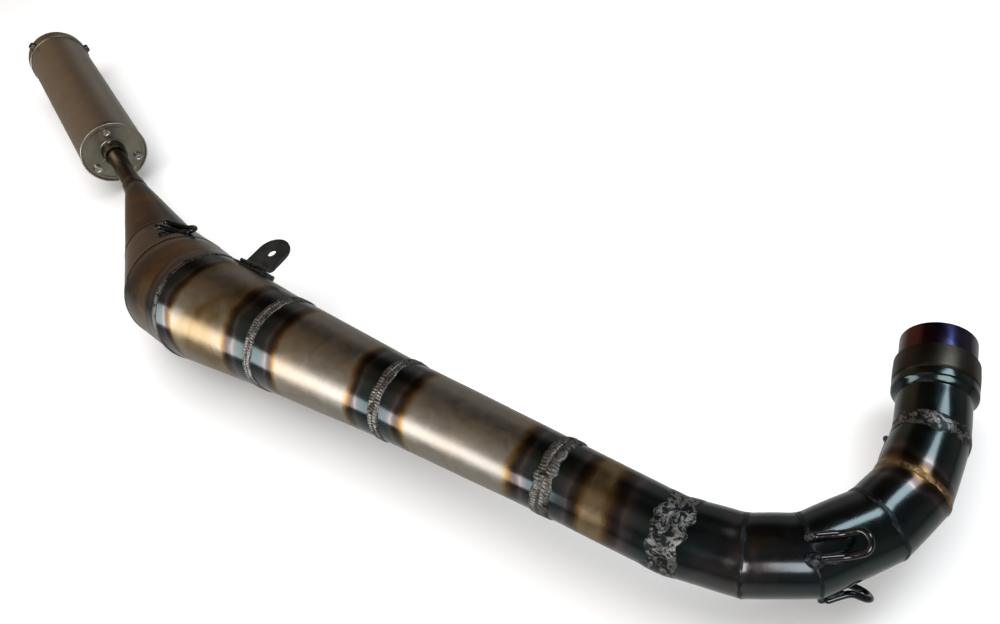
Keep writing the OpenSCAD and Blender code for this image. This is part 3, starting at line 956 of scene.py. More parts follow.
    def build(self) -> None:
        """Makes the sheets, their seams and the welds between them."""
        made: dict[WeldMetal, bpy.types.Material] = {}
        seam_metal = WeldMetal("seam_weld", (0.36, 0.33, 0.30), (0.05, 0.045, 0.045), 0.34)
        seam_finish = seam_metal.make(self.groups)
        for i, (node, finish) in enumerate(self.sheets().items(), start=1):
            slot = Slot.HEADER if i <= self.header_sheets else Slot.CHAMBER
            finished(self.sheet(i, node + "_sheet"), Body.PIPE, slot, finish.make(self.groups), node)
            finished(self.seam(i, node + "_seam"), Body.PIPE, Slot.WELD, seam_finish)
        for bead in self.beads():
            if bead.finish not in made:
                made[bead.finish] = bead.finish.make(self.groups)
            ring = self.ring(bead, 10 * bead.joint)
            finished(ring, Body.PIPE, Slot.WELD, made[bead.finish], bead.node)


# ---------------------------------------------------------------- slip joint


@dataclass
class SlipJoint:
    """The sleeve that takes the engine's spigot, its band, and the header's socket."""

    groups: Groups
    sleeve_bore: float = 0.0230
    sleeve_radius: float = 0.0254
    sleeve_length: float = 0.039
    spigot_radius: float = 0.0226
    spigot_length: float = 0.028
    band_radius: float = 0.0277
    band_width: float = 0.020
    ring_bore: float = 0.02465
    neck_radius: float = 0.0240
    wall: float = 0.0018
    flare_from: float = -0.0446
    flare_to: float = -0.0500

    def stand(self) -> Stand:
        """The sleeve's axis, with z along +Y."""
        return Stand(np.zeros(3), np.array([[1.0, 0, 0], [0, 0, -1.0], [0, 1.0, 0]]))

    def sleeve_outline(self) -> Array:
        """The sleeve's section as [radius, y]: a tube that steps in to its spigot."""
        step, foot = -self.sleeve_length + 0.002, -self.sleeve_length - self.spigot_length
        inside = self.spigot_radius - self.wall
        return rounded(np.array([
            [self.sleeve_bore, 0], [self.sleeve_radius, 0], [self.sleeve_radius, -self.sleeve_length],
            [self.spigot_radius, -self.sleeve_length], [self.spigot_radius, foot],
            [inside, foot], [inside, step], [self.sleeve_bore, step],
        ]), 0.0007)

    def band_outline(self) -> Array:
        """The band's section as [radius, y], bulged by 0.25 mm in its middle."""
        low, high = -self.sleeve_length, -self.sleeve_length + self.band_width
        y = np.linspace(high - 0.0012, low + 0.0008, 9)
        bulge = self.band_radius + 0.00025 * np.sin(np.linspace(0, np.pi, 9))
        face = np.stack([bulge, y], axis=1)
        ends = np.array([[self.sleeve_radius - 0.0002, low], [self.sleeve_radius - 0.0002, high],
                         [self.sleeve_radius + 0.0006, high], [self.band_radius - 0.0011, high - 0.0002]])
        return np.concatenate([face, [[self.band_radius - 0.0006, low]], ends])

    def socket_outline(self) -> Array:
        """The socket's section as [radius, y]: a straight collar that flares smoothly into the neck."""
        mouth, floor = -self.sleeve_length - 0.0003, SOCKET_FLOOR
        y = np.linspace(self.flare_from, self.flare_to, 14)
        fall = np.linspace(0, 1, 14)
        flare = self.neck_radius + (self.band_radius - self.neck_radius) * (1 - fall ** 2 * (3 - 2 * fall))
        flare[-1] -= 0.0002
        return np.concatenate([
            [[self.ring_bore, mouth], [self.band_radius - 0.0007, mouth], [self.band_radius, mouth - 0.0007]],
            np.stack([flare, y], axis=1),
            [[self.neck_radius - 0.0003, floor], [self.ring_bore, floor]],
        ])

    def build(self) -> None:
        """Makes the sleeve, the band and the socket, and dresses the seal ring."""
        stand = self.stand()
        purple = PurpleOxideWithPaintedSheen("sleeve_oxide_and_painted_sheen").make(self.groups)
        sleeve = lathe("inlet_sleeve_tube", stand, self.sleeve_outline(), 160)
        finished(sleeve, Body.SLEEVE, Slot.SLEEVE, purple, "inlet_sleeve")
        brown = WornMetal("band_steel", (0.050, 0.046, 0.040), (0.085, 0.078, 0.062), 0.30, 0.42)
        band = lathe("sleeve_band_ring", stand, self.band_outline(), 160)
        finished(band, Body.SLEEVE, Slot.BAND, brown.make(self.groups), "sleeve_band")
        oxide = HeatedSteel("socket_oxide", 0.60, 0.68, 0.74, 0.006, 0.010, 0.10).make(self.groups)
        socket = lathe("header_socket_ring", stand, self.socket_outline(), 160)
        self.add_distances(socket)
        finished(socket, Body.PIPE, Slot.HEADER, oxide, "header_socket")
        copper = WornMetal("seal_copper", (0.60, 0.30, 0.18), (0.36, 0.20, 0.14), 0.28, 0.5)
        dressed("seal_ring", copper.make(self.groups))

    @staticmethod
    def add_distances(piece: bpy.types.Object) -> None:
        """Stores each point's distance from the piece's two ends along Y, for its temper colours."""
        count = len(piece.data.vertices)
        co = np.zeros(count * 3, np.float32)
        piece.data.vertices.foreach_get("co", co)
        y = co[1::3]
        for key, values in (("from_start", y.max() - y), ("from_end", y - y.min())):
            layer = piece.data.attributes.new(key, "FLOAT", "POINT")
            layer.data.foreach_set("value", values)


# ---------------------------------------------------------------- hooks and hanger


@dataclass(frozen=True)
class Hook:
    """A rod bent to a loop and welded on its two legs. It points along its stand's -x."""

    node: str
    stand: Stand
    leg: float
    end: float
    kick: float
    width: float = 0.0135
    rod: float = 0.0046
    skin_radius: float = 0.030

    def path(self) -> Array:
        """The rod's middle: two legs on the skin, a soft knee, and half a ring that stands off it."""
        rise = self.rod / 2 - 0.0002
        lean = np.radians(self.kick)
        forward = np.array([-np.cos(lean), 0, np.sin(lean)])
        knee = np.array([-self.leg, 0, rise])
        tip = knee + self.end * forward
        side = np.array([0, self.width / 2, 0])
        foot = np.array([0, 0, rise])
        bend = rounded(np.array([foot, knee, tip]), 0.005, 8, closed=False)
        a = np.linspace(0, np.pi, 25)[:, None]
        arc = tip + np.cos(a) * side + np.sin(a) * forward * self.width / 2
        return even_steps(np.concatenate([bend[:-1] + side, arc, bend[::-1][1:] - side]), 0.0007)

    def build(self, rod: bpy.types.Material, metal: bpy.types.Material, blob: float, seed: int) -> None:
        """Makes the rod, a blob of weld at each foot and a thin run beside each leg.

        Args:
            rod: The rod's finish.
            metal: The weld's finish.
            blob: Size of the blob on the first leg; the other one's is two thirds of it.
            seed: Seed of the noise.
        """
        name = self.node
        world = self.stand.world(self.path())
        hint = self.stand.axes[2] * 0.8 - self.stand.axes[0] * 0.6
        loop = bar(name + "_rod", world, self.rod / 2, hint, 24, 0.03, seed)
        finished(loop, Body.PIPE, Slot.HEADER, rod, name)
        for k, side in enumerate((1, -1)):
            size = blob * (1.0 - 0.34 * k)
            spot = self.stand.moved(0.0008, side * self.width / 2, 0.0006)
            drop = lump(f"{name}_blob_{k + 1}", spot, (size, size * 0.8, size * 0.72), seed + k)
            finished(drop, Body.PIPE, Slot.WELD, metal)
            x = np.arange(-0.002, -self.leg * 0.8, -0.0006)
            y = side * (self.width / 2 + self.rod * 0.42)
            level = -(y ** 2) / 2 / self.skin_radius + 0.0004
            path = self.stand.world(np.stack([x, np.full(len(x), y), np.full(len(x), level)], axis=1))
            run = bar(f"{name}_run_{k + 1}", path, 0.0013, hint, 12, 0.35, seed + 5 + k)
            finished(run, Body.PIPE, Slot.WELD, metal)


@dataclass
class Hanger:
    """The strip welded along the last cone, and the folded tab with the mounting hole."""

    pipe: Pipe
    groups: Groups
    plate: float = 0.003
    width: float = 0.036
    reach: float = 0.0205
    hole: float = 0.0042
    fold: float = 0.005
    slope: float = 68.0
    foot_x: tuple[float, float] = (-0.018, 0.026)
    foot_y: tuple[float, float] = (-0.009, 0.008)
    root_y: float = 0.0070
    skin_radius: float = 0.049

    def stand(self) -> Stand:
        """The hanger's own stand, on the inside of the bend."""
        return self.pipe.stand(10, 0.074, 159)

    def foot(self) -> bpy.types.Object:
        """The strip: a rounded section carried along x, which shrinks in its last 3 mm at both ends."""
        low, high = self.foot_y
        corners = np.array([[low, -0.002], [high, -0.002], [high, self.plate], [low, self.plate]])
        section = rounded(corners, 0.0016)
        middle = np.array([(low + high) / 2, 0.0])
        x = np.linspace(*self.foot_x, 61)
        near = np.minimum(x - x[0], x[-1] - x) / 0.003
        shrink = 0.72 + 0.28 * np.sqrt(np.clip(1 - (1 - np.minimum(near, 1)) ** 2, 0, 1))
        scale = np.stack([0.5 + 0.5 * shrink, shrink], axis=1)
        rings = middle + (section[None] - middle) * scale[:, None]
        local = np.concatenate([np.broadcast_to(x[:, None, None], (*rings.shape[:2], 1)), rings], axis=-1)
        return surface("hanger_foot_strip", self.stand().world(local), False, sharp=50.0)

    def tab(self) -> bpy.types.Object:
        """The tab: rays from the hole to its outline, carried round a rounded section, then folded.

        At the angle f from its tip a ray is as long as the round end's radius, or reaches the side at
        w / |sin f| or the root at q / |cos f|. The fold is an arc that turns the sheet by the slope.
        """
        f = circle_angles(220)[None, :]
        half = self.width / 2
        root = self.reach + 0.0056
        side = half / np.maximum(np.abs(np.sin(f)), 1e-6)
        back = root / np.maximum(np.abs(np.cos(f)), 1e-6)
        ray = np.where(np.cos(f) >= 0, half, np.minimum(side, back))
        t = self.plate / 2
        flat = np.linspace(0, 1, 24)
        faces = np.concatenate([
            np.stack([flat, np.full(24, -t)], 1), np.stack([flat[::-1], np.full(24, t)], 1)])
        share, thick = faces[:, :1], faces[:, 1:]
        inset = np.where(share == 0, 0.0005, 0) - np.where(share == 1, 0.0005, 0)
        distance = self.hole + share * (ray - self.hole) + inset
        rim = np.zeros((1, f.shape[1]))
        low_rim, high_rim = rim + ray, rim + self.hole
        grid_r = np.concatenate([distance[:24], low_rim, low_rim, distance[24:], high_rim, high_rim])
        e = t - 0.0005
        grid_t = np.concatenate([
            thick[:24] + 0 * f, rim - e, rim + e, thick[24:] + 0 * f, rim + e, rim - e])
        turned = np.radians(self.slope)
        shorter = self.fold * (turned - np.tan(turned / 2)) - t / np.sin(turned)
        p, q = grid_r * np.sin(f), self.reach + shorter + grid_r * np.cos(f)
        angle = np.clip(q / self.fold, 0, turned)
        beyond = np.maximum(q - self.fold * turned, 0)
        y = -self.fold * np.sin(angle) - beyond * np.cos(turned) - np.minimum(q, 0)
        z = self.fold * (1 - np.cos(angle)) + beyond * np.sin(turned)
        start_y = self.fold * np.tan(turned / 2) - t / np.tan(turned)
        y = y + start_y + grid_t * np.sin(angle)
        z = z + self.plate * 1.5 + grid_t * np.cos(angle)
        local = np.stack([p, y, z], axis=-1)
        return surface("hanger_tab_plate", self.stand().world(local), True, sharp=50.0)

    def welds(self) -> list[bpy.types.Object]:
        """Uneven runs of weld along the strip's two long sides and at the tab's root."""
        stand = self.stand()
        foot = (self.foot_x[0] + 0.002, self.foot_x[1] - 0.002)
        root = (-self.width / 2 + 0.0015, self.width / 2 - 0.0015)
        lines = [(y, foot, -0.0006 - y ** 2 / 2 / self.skin_radius) for y in self.foot_y]
        lines.append((self.root_y, root, self.plate))
        runs = []
        for k, (y, span, level) in enumerate(lines):
            x = np.arange(*span, 0.0008)
            local = np.stack([x, np.full(len(x), y), np.full(len(x), level)], axis=1)
            path = stand.world(local)
            runs.append(bar(f"hanger_run_{k + 1}", path, 0.0017, stand.axes[2], 14, 0.35, 70 + k))
        return runs

    def build(self) -> None:
        """Makes the strip, the tab and their welds."""
        black = WornMetal("hanger_black", (0.022, 0.026, 0.026), (0.05, 0.05, 0.048), 0.26, 0.42, 0.7, 0.3)
        finish = black.make(self.groups)
        finished(self.foot(), Body.PIPE, Slot.BRACKET, finish, "hanger_foot")
        finished(self.tab(), Body.PIPE, Slot.BRACKET, finish, "hanger_tab")
        weld = WeldMetal("hanger_weld", (0.16, 0.16, 0.155), (0.03, 0.033, 0.035), 0.32)
        metal = weld.make(self.groups)
        for run in self.welds():
            finished(run, Body.PIPE, Slot.WELD, metal)


# ---------------------------------------------------------------- tail pipe and silencer


@dataclass
class TailPipe:
    """The thin tube behind the chamber, and the collar that it is welded into."""

    pipe: Pipe
    groups: Groups
    radius: float = 0.0105
    wall: float = 0.0012
    collar: float = 0.013
    inside: float = 0.034

    def tube(self, name: str, outline: Array, end: float) -> bpy.types.Object:
        """A tube cut on the slant at the tail joint and square, or on the same slant, at its other end.

        Args:
            name: The piece's name.
            outline: Closed section of [share of the length, radius, distance added along the axis].
            end: Distance from the joint to the square end, or 0 for a piece slanted at both ends.

        Returns:
            The new object.
        """
        i = TAIL + 1
        turn = circle_angles(96)[None, :]
        cut = self.pipe.edge(i, TAIL, turn)
        share, radius, extra = outline[:, :1], outline[:, 1:2], outline[:, 2:]
        along = cut * (1 - share if end else 1) + share * end + extra
        lift = radius - self.pipe.radius[i]
        turns, lifts = np.broadcast_to(turn, along.shape), np.broadcast_to(lift, along.shape)
        grid = self.pipe.skin(i, along, turns, lifts)
        marks = {"from_start": along - cut, "from_end": np.maximum(end, self.collar) - along}
        return surface(name, grid, True, marks)

    def build(self) -> None:
        """Makes the collar and the tube."""
        oxide = HeatedSteel("tail_oxide", 0.42, 0.27, 0.36, 0.02, 0.05, 0.06).make(self.groups)
        length = self.pipe.length[TAIL + 1] + self.inside
        share = np.linspace(0, 1, 60)
        outer = np.stack([share, np.full(60, self.radius), np.zeros(60)], 1)
        inner = np.stack([share[::-1], np.full(60, self.radius - self.wall), np.zeros(60)], 1)
        tube = self.tube("stinger_tube_pipe", np.concatenate([outer, inner]), length)
        finished(tube, Body.PIPE, Slot.TAIL, oxide, "stinger_tube")
        big = self.pipe.radius[TAIL]
        corners = [[0, big], [self.collar, big], [self.collar, self.radius], [0, self.radius]]
        section = rounded(np.array(corners), 0.0008)
        outline = np.stack([np.zeros(len(section)), section[:, 1], section[:, 0]], 1)
        collar = self.tube("stinger_collar_ring", outline, 0.0)
        finished(collar, Body.PIPE, Slot.TAIL, oxide, "stinger_collar")


@dataclass(frozen=True)
class Screw:
    """A socket-head screw: its head's radius at its foot, its head's height, its shank, and its crown.

    The crown is the head's radius at its top, as a share of its foot's.
    """

    radius: float
    height: float
    shank: float
    depth: float
    crown: float

    def build(self, name: str, stand: Stand) -> bpy.types.Object:
        """Makes the screw: rings up its side, over its edge and down its hexagon.

        In the socket, a ring's radius at the angle a is h / cos(a mod 60 - 30), which is a hexagon.

        Args:
            name: The piece's name.
            stand: The middle of the face that the head sits on, with z out of it.

        Returns:
            The new object.
        """
        radius, height, shank = self.radius, self.height, self.shank
        turn = circle_angles(72)[None, :]
        fold = np.radians((np.degrees(turn) % 60) - 30)
        hexagon = 1 / np.cos(fold)
        flat, top = radius * 0.52, radius * self.crown
        side = np.array([
            [0.0002, -self.depth], [shank - 0.0004, -self.depth], [shank, -self.depth + 0.0004],
            [shank, -0.00005], [radius - 0.0003, 0.0], [radius, 0.0003],
            [(radius + top) / 2, height * 0.6], [top, height - 0.0005], [top - 0.0002, height - 0.00015],
            [top - 0.0006, height]])
        socket = np.array([[flat + 0.0003, height], [flat, height - 0.0003], [flat, height * 0.45],
                           [0.0002, height * 0.38]])
        rings = np.concatenate([side[:, :1] + 0 * turn, socket[:, :1] * hexagon])
        z = np.concatenate([side[:, 1:], socket[:, 1:]]) + 0 * turn
        local = np.stack([rings * np.cos(turn), rings * np.sin(turn), z], axis=-1)
        return surface(name, stand.world(local), False, sharp=30.0)


@dataclass
class Silencer:
    """The round silencer: its can, caps, collar, outlet and screws."""

    pipe: Pipe
    groups: Groups
    radius: float = 0.038
    length: float = 0.322
    wall: float = 0.0015
    cap_from: float = 0.002
    cap_to: float = 0.007
    screw_ring: float = 0.028
    core: float = 0.0134
    bore: float = 0.01055
    skirt: float = 0.0016
    skirt_length: float = 0.014
    front_turn: float = 73.0
    rear_turn: float = 32.0
    front_screw: Screw = Screw(0.0042, 0.0042, 0.0025, 0.010, 1.0)
    rear_screw: Screw = Screw(0.0056, 0.0044, 0.003, 0.006, 0.78)

    def stand(self) -> Stand:
        """The silencer's axis: z = 0 is its front edge, and +z runs to its outlet."""
        return self.pipe.axis(TAIL + 1, TAIL + 1)

    def seat(self, degrees: float, radius: float, z: float) -> Stand:
        """A stand at an angle and radius on the front face, whose z points out of that face."""
        stand = self.stand()
        a = np.radians(degrees)
        origin = stand.world(np.array([radius * np.cos(a), radius * np.sin(a), z]))
        return Stand(origin, np.stack([stand.axes[0], -stand.axes[1], -stand.axes[2]]))

    def can(self) -> bpy.types.Object:
        """The can: a sheet tube whose front edge is rolled over into a thick round lip."""
        r, inner = self.radius, self.radius - self.wall
        a = np.linspace(-0.5 * np.pi, 0.5 * np.pi, 11)
        lip = np.stack([r - 0.0006 + 0.0011 * np.cos(a), 0.0012 + 0.0012 * np.sin(a)], axis=1)
        z = np.linspace(0.0034, self.length, 70)
        side = np.stack([np.full(70, r), z], axis=1)
        start = [[inner, 0.0012], [inner + 0.0003, 0.0002]]
        outline = np.concatenate([start, lip, side, [[inner, self.length]], [[inner, 0.004]]])
        swell = np.zeros((len(outline), 160))
        rows = slice(14, 14 + 66)
        swell[rows] = 0.00012 * soft_noise((66, 160), 91, (5, 9))
        return lathe("silencer_can_tube", self.stand(), outline, 160, True, swell, 50.0)

    def front_cap(self) -> bpy.types.Object:
        """The front cap: a disc with a shallow turned step and a rounded rim."""
        r = self.radius - self.wall - 0.00005
        low, high = self.cap_from, self.cap_to
        outline = np.array([
            [self.core + 0.00005, low], [self.core + 0.0030, low], [self.core + 0.0036, low + 0.0004],
            [r - 0.0042, low + 0.0004], [r - 0.0036, low], [r, low], [r, high], [self.core + 0.00005, high]])
        return lathe("front_cap_disc", self.stand(), rounded(outline, 0.0005, 4), 160, True, sharp=35.0)

    def collar(self) -> bpy.types.Object:
        """The collar that the tail pipe turns in, with the flange behind the cap."""
        top, flange = self.cap_to + 0.003, self.screw_ring + 0.006
        outline = np.array([
            [self.bore, -0.009], [self.core, -0.009], [self.core, self.cap_to], [flange, self.cap_to],
            [flange, top], [self.core, top], [self.core, 0.028], [self.bore, 0.028]])
        return lathe("core_flange_collar", self.stand(), rounded(outline, 0.0009), 120)

    def rear_cap(self) -> bpy.types.Object:
        """The rear cap: a shallow dome with a skirt over the can and a seat for the outlet."""
        inner, end = self.radius - self.wall - 0.00005, self.length
        under, out = self.radius + 0.00005, self.radius + self.skirt
        a = np.linspace(0, 0.5 * np.pi, 14)
        dome = np.stack([out - 0.006 + 0.006 * np.cos(a), end + 0.0015 + 0.0065 * np.sin(a)], axis=1)
        low = end - self.skirt_length
        side = np.stack([np.full(12, out), np.linspace(low + 0.0005, end + 0.0008, 12)], axis=1)
        outline = np.concatenate([
            [[inner, end - 0.012], [inner, end + 0.00005], [under, end + 0.00005], [under, low],
             [out - 0.0005, low]], side, dome,
            [[self.core + 0.0042, end + 0.008], [self.core + 0.0034, end + 0.0072], [self.core, end + 0.0072],
             [self.core, end + 0.005], [inner - 0.003, end + 0.005], [inner - 0.003, end - 0.012]]])
        return lathe("rear_cap_dome", self.stand(), outline, 160, True, sharp=35.0)

    def outlet(self) -> bpy.types.Object:
        """The outlet: a short tube with a rounded lip."""
        start, stop, wall = self.length - 0.012, self.length + 0.024, 0.0015
        outline = np.array([
            [self.core - wall, start], [self.core, start], [self.core, stop], [self.core - wall, stop]])
        return lathe("outlet_tip_tube", self.stand(), rounded(outline, 0.0007), 96)

    def rim(self, degrees: float) -> Stand:
        """A stand on the rear cap's skirt, whose z points away from the silencer's axis."""
        stand = self.stand()
        a = np.radians(degrees)
        out = np.cos(a) * stand.axes[0] + np.sin(a) * stand.axes[1]
        middle = stand.origin + stand.axes[2] * (self.length - self.skirt_length / 2)
        origin = middle + out * (self.radius + self.skirt)
        return Stand(origin, np.stack([stand.axes[2], np.cross(out, stand.axes[2]), out]))

    def build(self) -> None:
        """Makes the silencer's pieces and dresses the ones that stay as they are."""
        groups = self.groups
        axis = tuple(float(v) for v in self.pipe.way[TAIL + 1])
        sheet = TurnedAluminium("can_aluminium", axis, (0.50, 0.455, 0.40), (0.56, 0.51, 0.44), 0.36)
        cast = TurnedAluminium("cap_aluminium", axis, (0.30, 0.27, 0.205), (0.42, 0.39, 0.31), 0.30, 0.08)
        collar_steel = WornMetal("collar_steel", (0.085, 0.065, 0.05), (0.16, 0.13, 0.10), 0.3, 0.45)
        finished(self.can(), Body.SILENCER, Slot.CAN, sheet.make(groups), "silencer_can")
        cap = cast.make(groups)
        finished(self.front_cap(), Body.SILENCER, Slot.CAP, cap, "silencer_front_cap")
        finished(self.rear_cap(), Body.SILENCER, Slot.CAP, cap, "silencer_rear_cap")
        finished(self.outlet(), Body.SILENCER, Slot.CAP, cap, "outlet_tip")
        finished(self.collar(), Body.SILENCER, Slot.TAIL, collar_steel.make(groups), "core_flange")
        self.fasten()
        perforated = WornMetal("core_steel", (0.5, 0.49, 0.46), (0.3, 0.27, 0.23), 0.3, 0.5)
        dressed("perforated_core", perforated.make(groups))
        dressed("packing", GlassWool("glass_wool").make(groups))

    def fasten(self) -> None:
        """Makes both caps' screws and the three tacks of weld round the collar."""
        groups = self.groups
        bright = WornMetal("screw_steel", (0.74, 0.73, 0.70), (0.55, 0.53, 0.50), 0.18, 0.32).make(groups)
        dull = WornMetal("rear_screw_steel", (0.16, 0.14, 0.115), (0.09, 0.08, 0.07), 0.35, 0.5).make(groups)
        for k in range(3):
            seat = self.seat(self.front_turn + 120 * k, self.screw_ring, self.cap_from)
            screw = self.front_screw.build(f"front_screw_{k + 1}", seat)
            finished(screw, Body.SILENCER, Slot.SCREWS, bright, "front_cap_screws")
            screw = self.rear_screw.build(f"rear_screw_{k + 1}", self.rim(self.rear_turn + 120 * k))
            finished(screw, Body.SILENCER, Slot.SCREWS, dull, "rear_cap_screws")
        tack_metal = WeldMetal("tack_weld", (0.70, 0.68, 0.60), (0.20, 0.18, 0.14), 0.25).make(groups)
        for k, degrees in enumerate((-40, 75, 190)):
            seat = self.seat(degrees, self.core + 0.0006, self.cap_from)
            tack = lump(f"collar_tack_{k + 1}", seat, (0.0032, 0.0028, 0.0024), 120 + k)
            finished(tack, Body.SILENCER, Slot.WELD, tack_metal)


# ---------------------------------------------------------------- studio


@dataclass(frozen=True)
class Patch:
    """A soft round patch of the room: its azimuth and height in degrees, its full and its fading radius."""

    azimuth: float
    height: float
    inner: float
    outer: float
    colour: Colour

    def direction(self) -> tuple[float, float, float]:
        """The unit vector towards the middle of the patch."""
        a, e = np.radians(self.azimuth), np.radians(self.height)
        return float(np.sin(a) * np.cos(e)), float(np.cos(a) * np.cos(e)), float(np.sin(e))


@dataclass
class Studio:
    """The room, the floor, the lights and the camera."""

    camera_place: tuple[float, float, float] = (-0.03914, -0.42998, 0.55376)
    camera_azimuth: float = 35.74
    camera_down: float = 47.69
    camera_roll: float = 20.73
    lens: float = 31.91
    aim: tuple[float, float, float] = (-0.45, 0.05, 0.0)
    floor_reach: float = 6.0
    patches: tuple[Patch, ...] = (
        Patch(-12, 14, 12, 34, (0.24, 0.23, 0.215)),
        Patch(-40, 52, 22, 48, (0.035, 0.028, 0.021)),
        Patch(-62, 4, 14, 34, (0.24, 0.17, 0.115)),
        Patch(-92, 50, 16, 40, (0.17, 0.125, 0.082)),
        Patch(-128, 50, 8, 30, (0.34, 0.31, 0.265)),
    )

    def camera(self) -> None:
        """Sets the camera by its azimuth from +Y, its angle below the horizon and its roll."""
        a, e, r = (np.radians(v) for v in (self.camera_azimuth, self.camera_down, self.camera_roll))
        forward = np.array([-np.sin(a) * np.cos(e), np.cos(a) * np.cos(e), -np.sin(e)])
        level = np.array([np.cos(a), np.sin(a), 0.0])
        upright = np.cross(level, forward)
        up = np.cos(r) * upright + np.sin(r) * level
        right = np.cross(forward, up)
        data = bpy.data.cameras.new("camera")
        data.lens, data.sensor_width, data.clip_start = self.lens, 36.0, 0.01
        camera = bpy.data.objects.new("camera", data)
        matrix = np.eye(4)
        matrix[:3, 0], matrix[:3, 1], matrix[:3, 2], matrix[:3, 3] = right, up, -forward, self.camera_place
        camera.matrix_world = Matrix(matrix.tolist())
        bpy.context.scene.collection.objects.link(camera)
        bpy.context.scene.camera = camera

    def light(self, name: str, azimuth: float, height: float, distance: float, size: tuple[float, float],
              power: float, colour: Colour = (1, 1, 1), in_gloss: bool = True) -> None:
        """Places a soft rectangular light round the object.

        Args:
            name: The light's name.
            azimuth: Its direction from the object, clockwise from +Y in degrees.
            height: Its angle above the horizon in degrees.
            distance: Its distance from the object's middle.
            size: Its width and its height.
            power: Its power in watts.
            colour: Its colour.
            in_gloss: Whether glossy surfaces mirror it.
        """
        a, e = np.radians(azimuth), np.radians(height)
        away = np.array([np.sin(a) * np.cos(e), np.cos(a) * np.cos(e), np.sin(e)])
        data = bpy.data.lights.new(name, "AREA")
        data.shape, data.size, data.size_y = "RECTANGLE", *size
        data.energy, data.color = power, colour
        lamp = bpy.data.objects.new(name, data)
        right = unit(np.cross([0.0, 0.0, 1.0], away)) if abs(away[2]) < 0.999 else np.array([1.0, 0, 0])
        matrix = np.eye(4)
        matrix[:3, 0], matrix[:3, 1], matrix[:3, 2] = right, np.cross(away, right), away
        matrix[:3, 3] = np.array(self.aim) + distance * away
        lamp.matrix_world = Matrix(matrix.tolist())
        lamp.visible_glossy = in_gloss
        bpy.context.scene.collection.objects.link(lamp)

    def world(self) -> None:
        """Fills the room: a colour for each height, with soft patches blended over it."""
        world = bpy.data.worlds.new("room")
        bpy.context.scene.world = world
        world.use_nodes = True
        tree = world.node_tree
        tree.nodes.clear()
        where = put(tree, "TexCoord").outputs["Generated"]
        height = put(tree, "SeparateXYZ", {0: where}).outputs["Z"]
        colour = ramp(tree, spread(tree, height, -1, 1, 0, 1), {
            0.0: (0.42, 0.42, 0.40), 0.25: (0.40, 0.40, 0.385), 0.36: (0.26, 0.26, 0.25),
            0.42: (0.09, 0.09, 0.085), 0.50: (0.17, 0.17, 0.16), 0.62: (0.15, 0.145, 0.135),
            0.75: (0.09, 0.085, 0.08), 0.90: (0.07, 0.07, 0.07), 1.0: (0.09, 0.09, 0.09)})
        for patch in self.patches:
            near = put(tree, "VectorMath", {0: where, 1: patch.direction()}, operation="DOT_PRODUCT")
            mask = put(tree, "MapRange", {
                "Value": near.outputs["Value"], "From Min": float(np.cos(np.radians(patch.outer))),
                "From Max": float(np.cos(np.radians(patch.inner)))}, interpolation_type="SMOOTHSTEP")
            colour = blended(tree, mask.outputs["Result"], colour, patch.colour)
        seen = put(tree, "LightPath").outputs["Is Camera Ray"]
        colour = blended(tree, seen, colour, (0.92, 0.92, 0.92))
        shade = put(tree, "Background", {"Color": colour, "Strength": 1.0})
        tree.links.new(shade.outputs[0], put(tree, "OutputWorld").inputs["Surface"])

    def floor(self) -> None:
        """A wide pale floor just under the object."""
        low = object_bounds()[0][2]
        x = np.array([-self.floor_reach, self.floor_reach])
        corners = np.stack(np.meshgrid(x, x, indexing="ij"), axis=-1).reshape(-1, 2)
        points = np.concatenate([corners, np.full((4, 1), low)], axis=1)
        mesh = bpy.data.meshes.new("floor")
        mesh.from_pydata(points.tolist(), [], [(0, 2, 3, 1)])
        floor = bpy.data.objects.new("floor", mesh)
        bpy.context.scene.collection.objects.link(floor)
        material, _, shader = shaded("floor_paper", 0.0, Roughness=0.9)
        shader.inputs["Base Color"].default_value = (0.86, 0.86, 0.86, 1.0)
        mesh.materials.append(material)
        floor.visible_glossy = False
        floor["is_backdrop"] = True

    def build(self) -> None:
        """Makes the whole studio."""
        bpy.context.scene.view_settings.view_transform = "Standard"
        self.camera()
        self.world()
        self.floor()
        self.light("window", -136, 10, 1.9, (1.3, 0.90), 14)
        self.light("skylight", 60, 50, 1.8, (0.5, 0.9), 9, (0.86, 0.94, 1.0))
        self.light("overhead", 0, 89, 2.4, (3.0, 3.0), 95, in_gloss=False)
        self.light("back_window", 150, 30, 2.6, (1.2, 1.0), 20)


def add_hooks(pipe: Pipe, groups: Groups) -> None:
    """Makes the three spring hooks on the bend and the small one on the chamber."""
    rod = HeatedSteel("hook_oxide", 0.6, 0.62, 0.6, 0.01, 0.01, 0.1).make(groups)
    metal = WeldMetal("hook_weld", (0.24, 0.25, 0.26), (0.03, 0.034, 0.038), 0.34).make(groups)
    top = pipe.stand(4, 0.051, 74).turned(-18)
    outer = pipe.stand(4, 0.049, -50).turned(12)
    inner = pipe.stand(2, 0.019, 222)
    chamber = pipe.stand(12, 0.038, 126).turned(50).moved(0.017, 0, -0.001)
    hooks = (
        (Hook("spring_hook_top", top, 0.019, 0.008, 42), 0.0060),
        (Hook("spring_hook_outer", outer, 0.017, 0.008, 42), 0.0048),
        (Hook("spring_hook_inner", inner, 0.014, 0.003, 42), 0.0040),
        (Hook("chamber_hook", chamber, 0.022, 0.006, 20), 0.0036),
    )
    for k, (hook, blob) in enumerate(hooks):
        hook.build(rod, metal, blob, 200 + 20 * k)


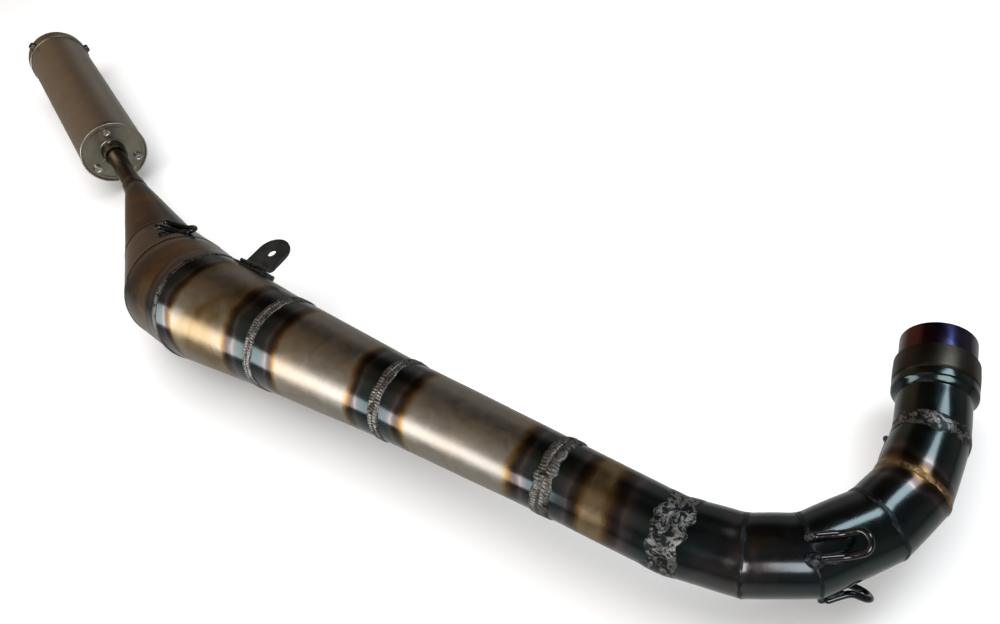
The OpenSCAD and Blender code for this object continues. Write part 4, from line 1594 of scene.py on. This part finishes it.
def main() -> None:
    """Builds the exhaust from its inlet to its outlet, and then the studio round it."""
    logging.basicConfig(level=logging.INFO, format="%(message)s")
    groups = Groups()
    pipe = Pipe(ROUTE, np.array([0.0, SOCKET_FLOOR, 0.0]))
    WeldedPipe(pipe, groups).build()
    SlipJoint(groups).build()
    add_hooks(pipe, groups)
    Hanger(pipe, groups).build()
    TailPipe(pipe, groups).build()
    Silencer(pipe, groups).build()
    Studio().build()


if __name__ == "__main__":
    main()
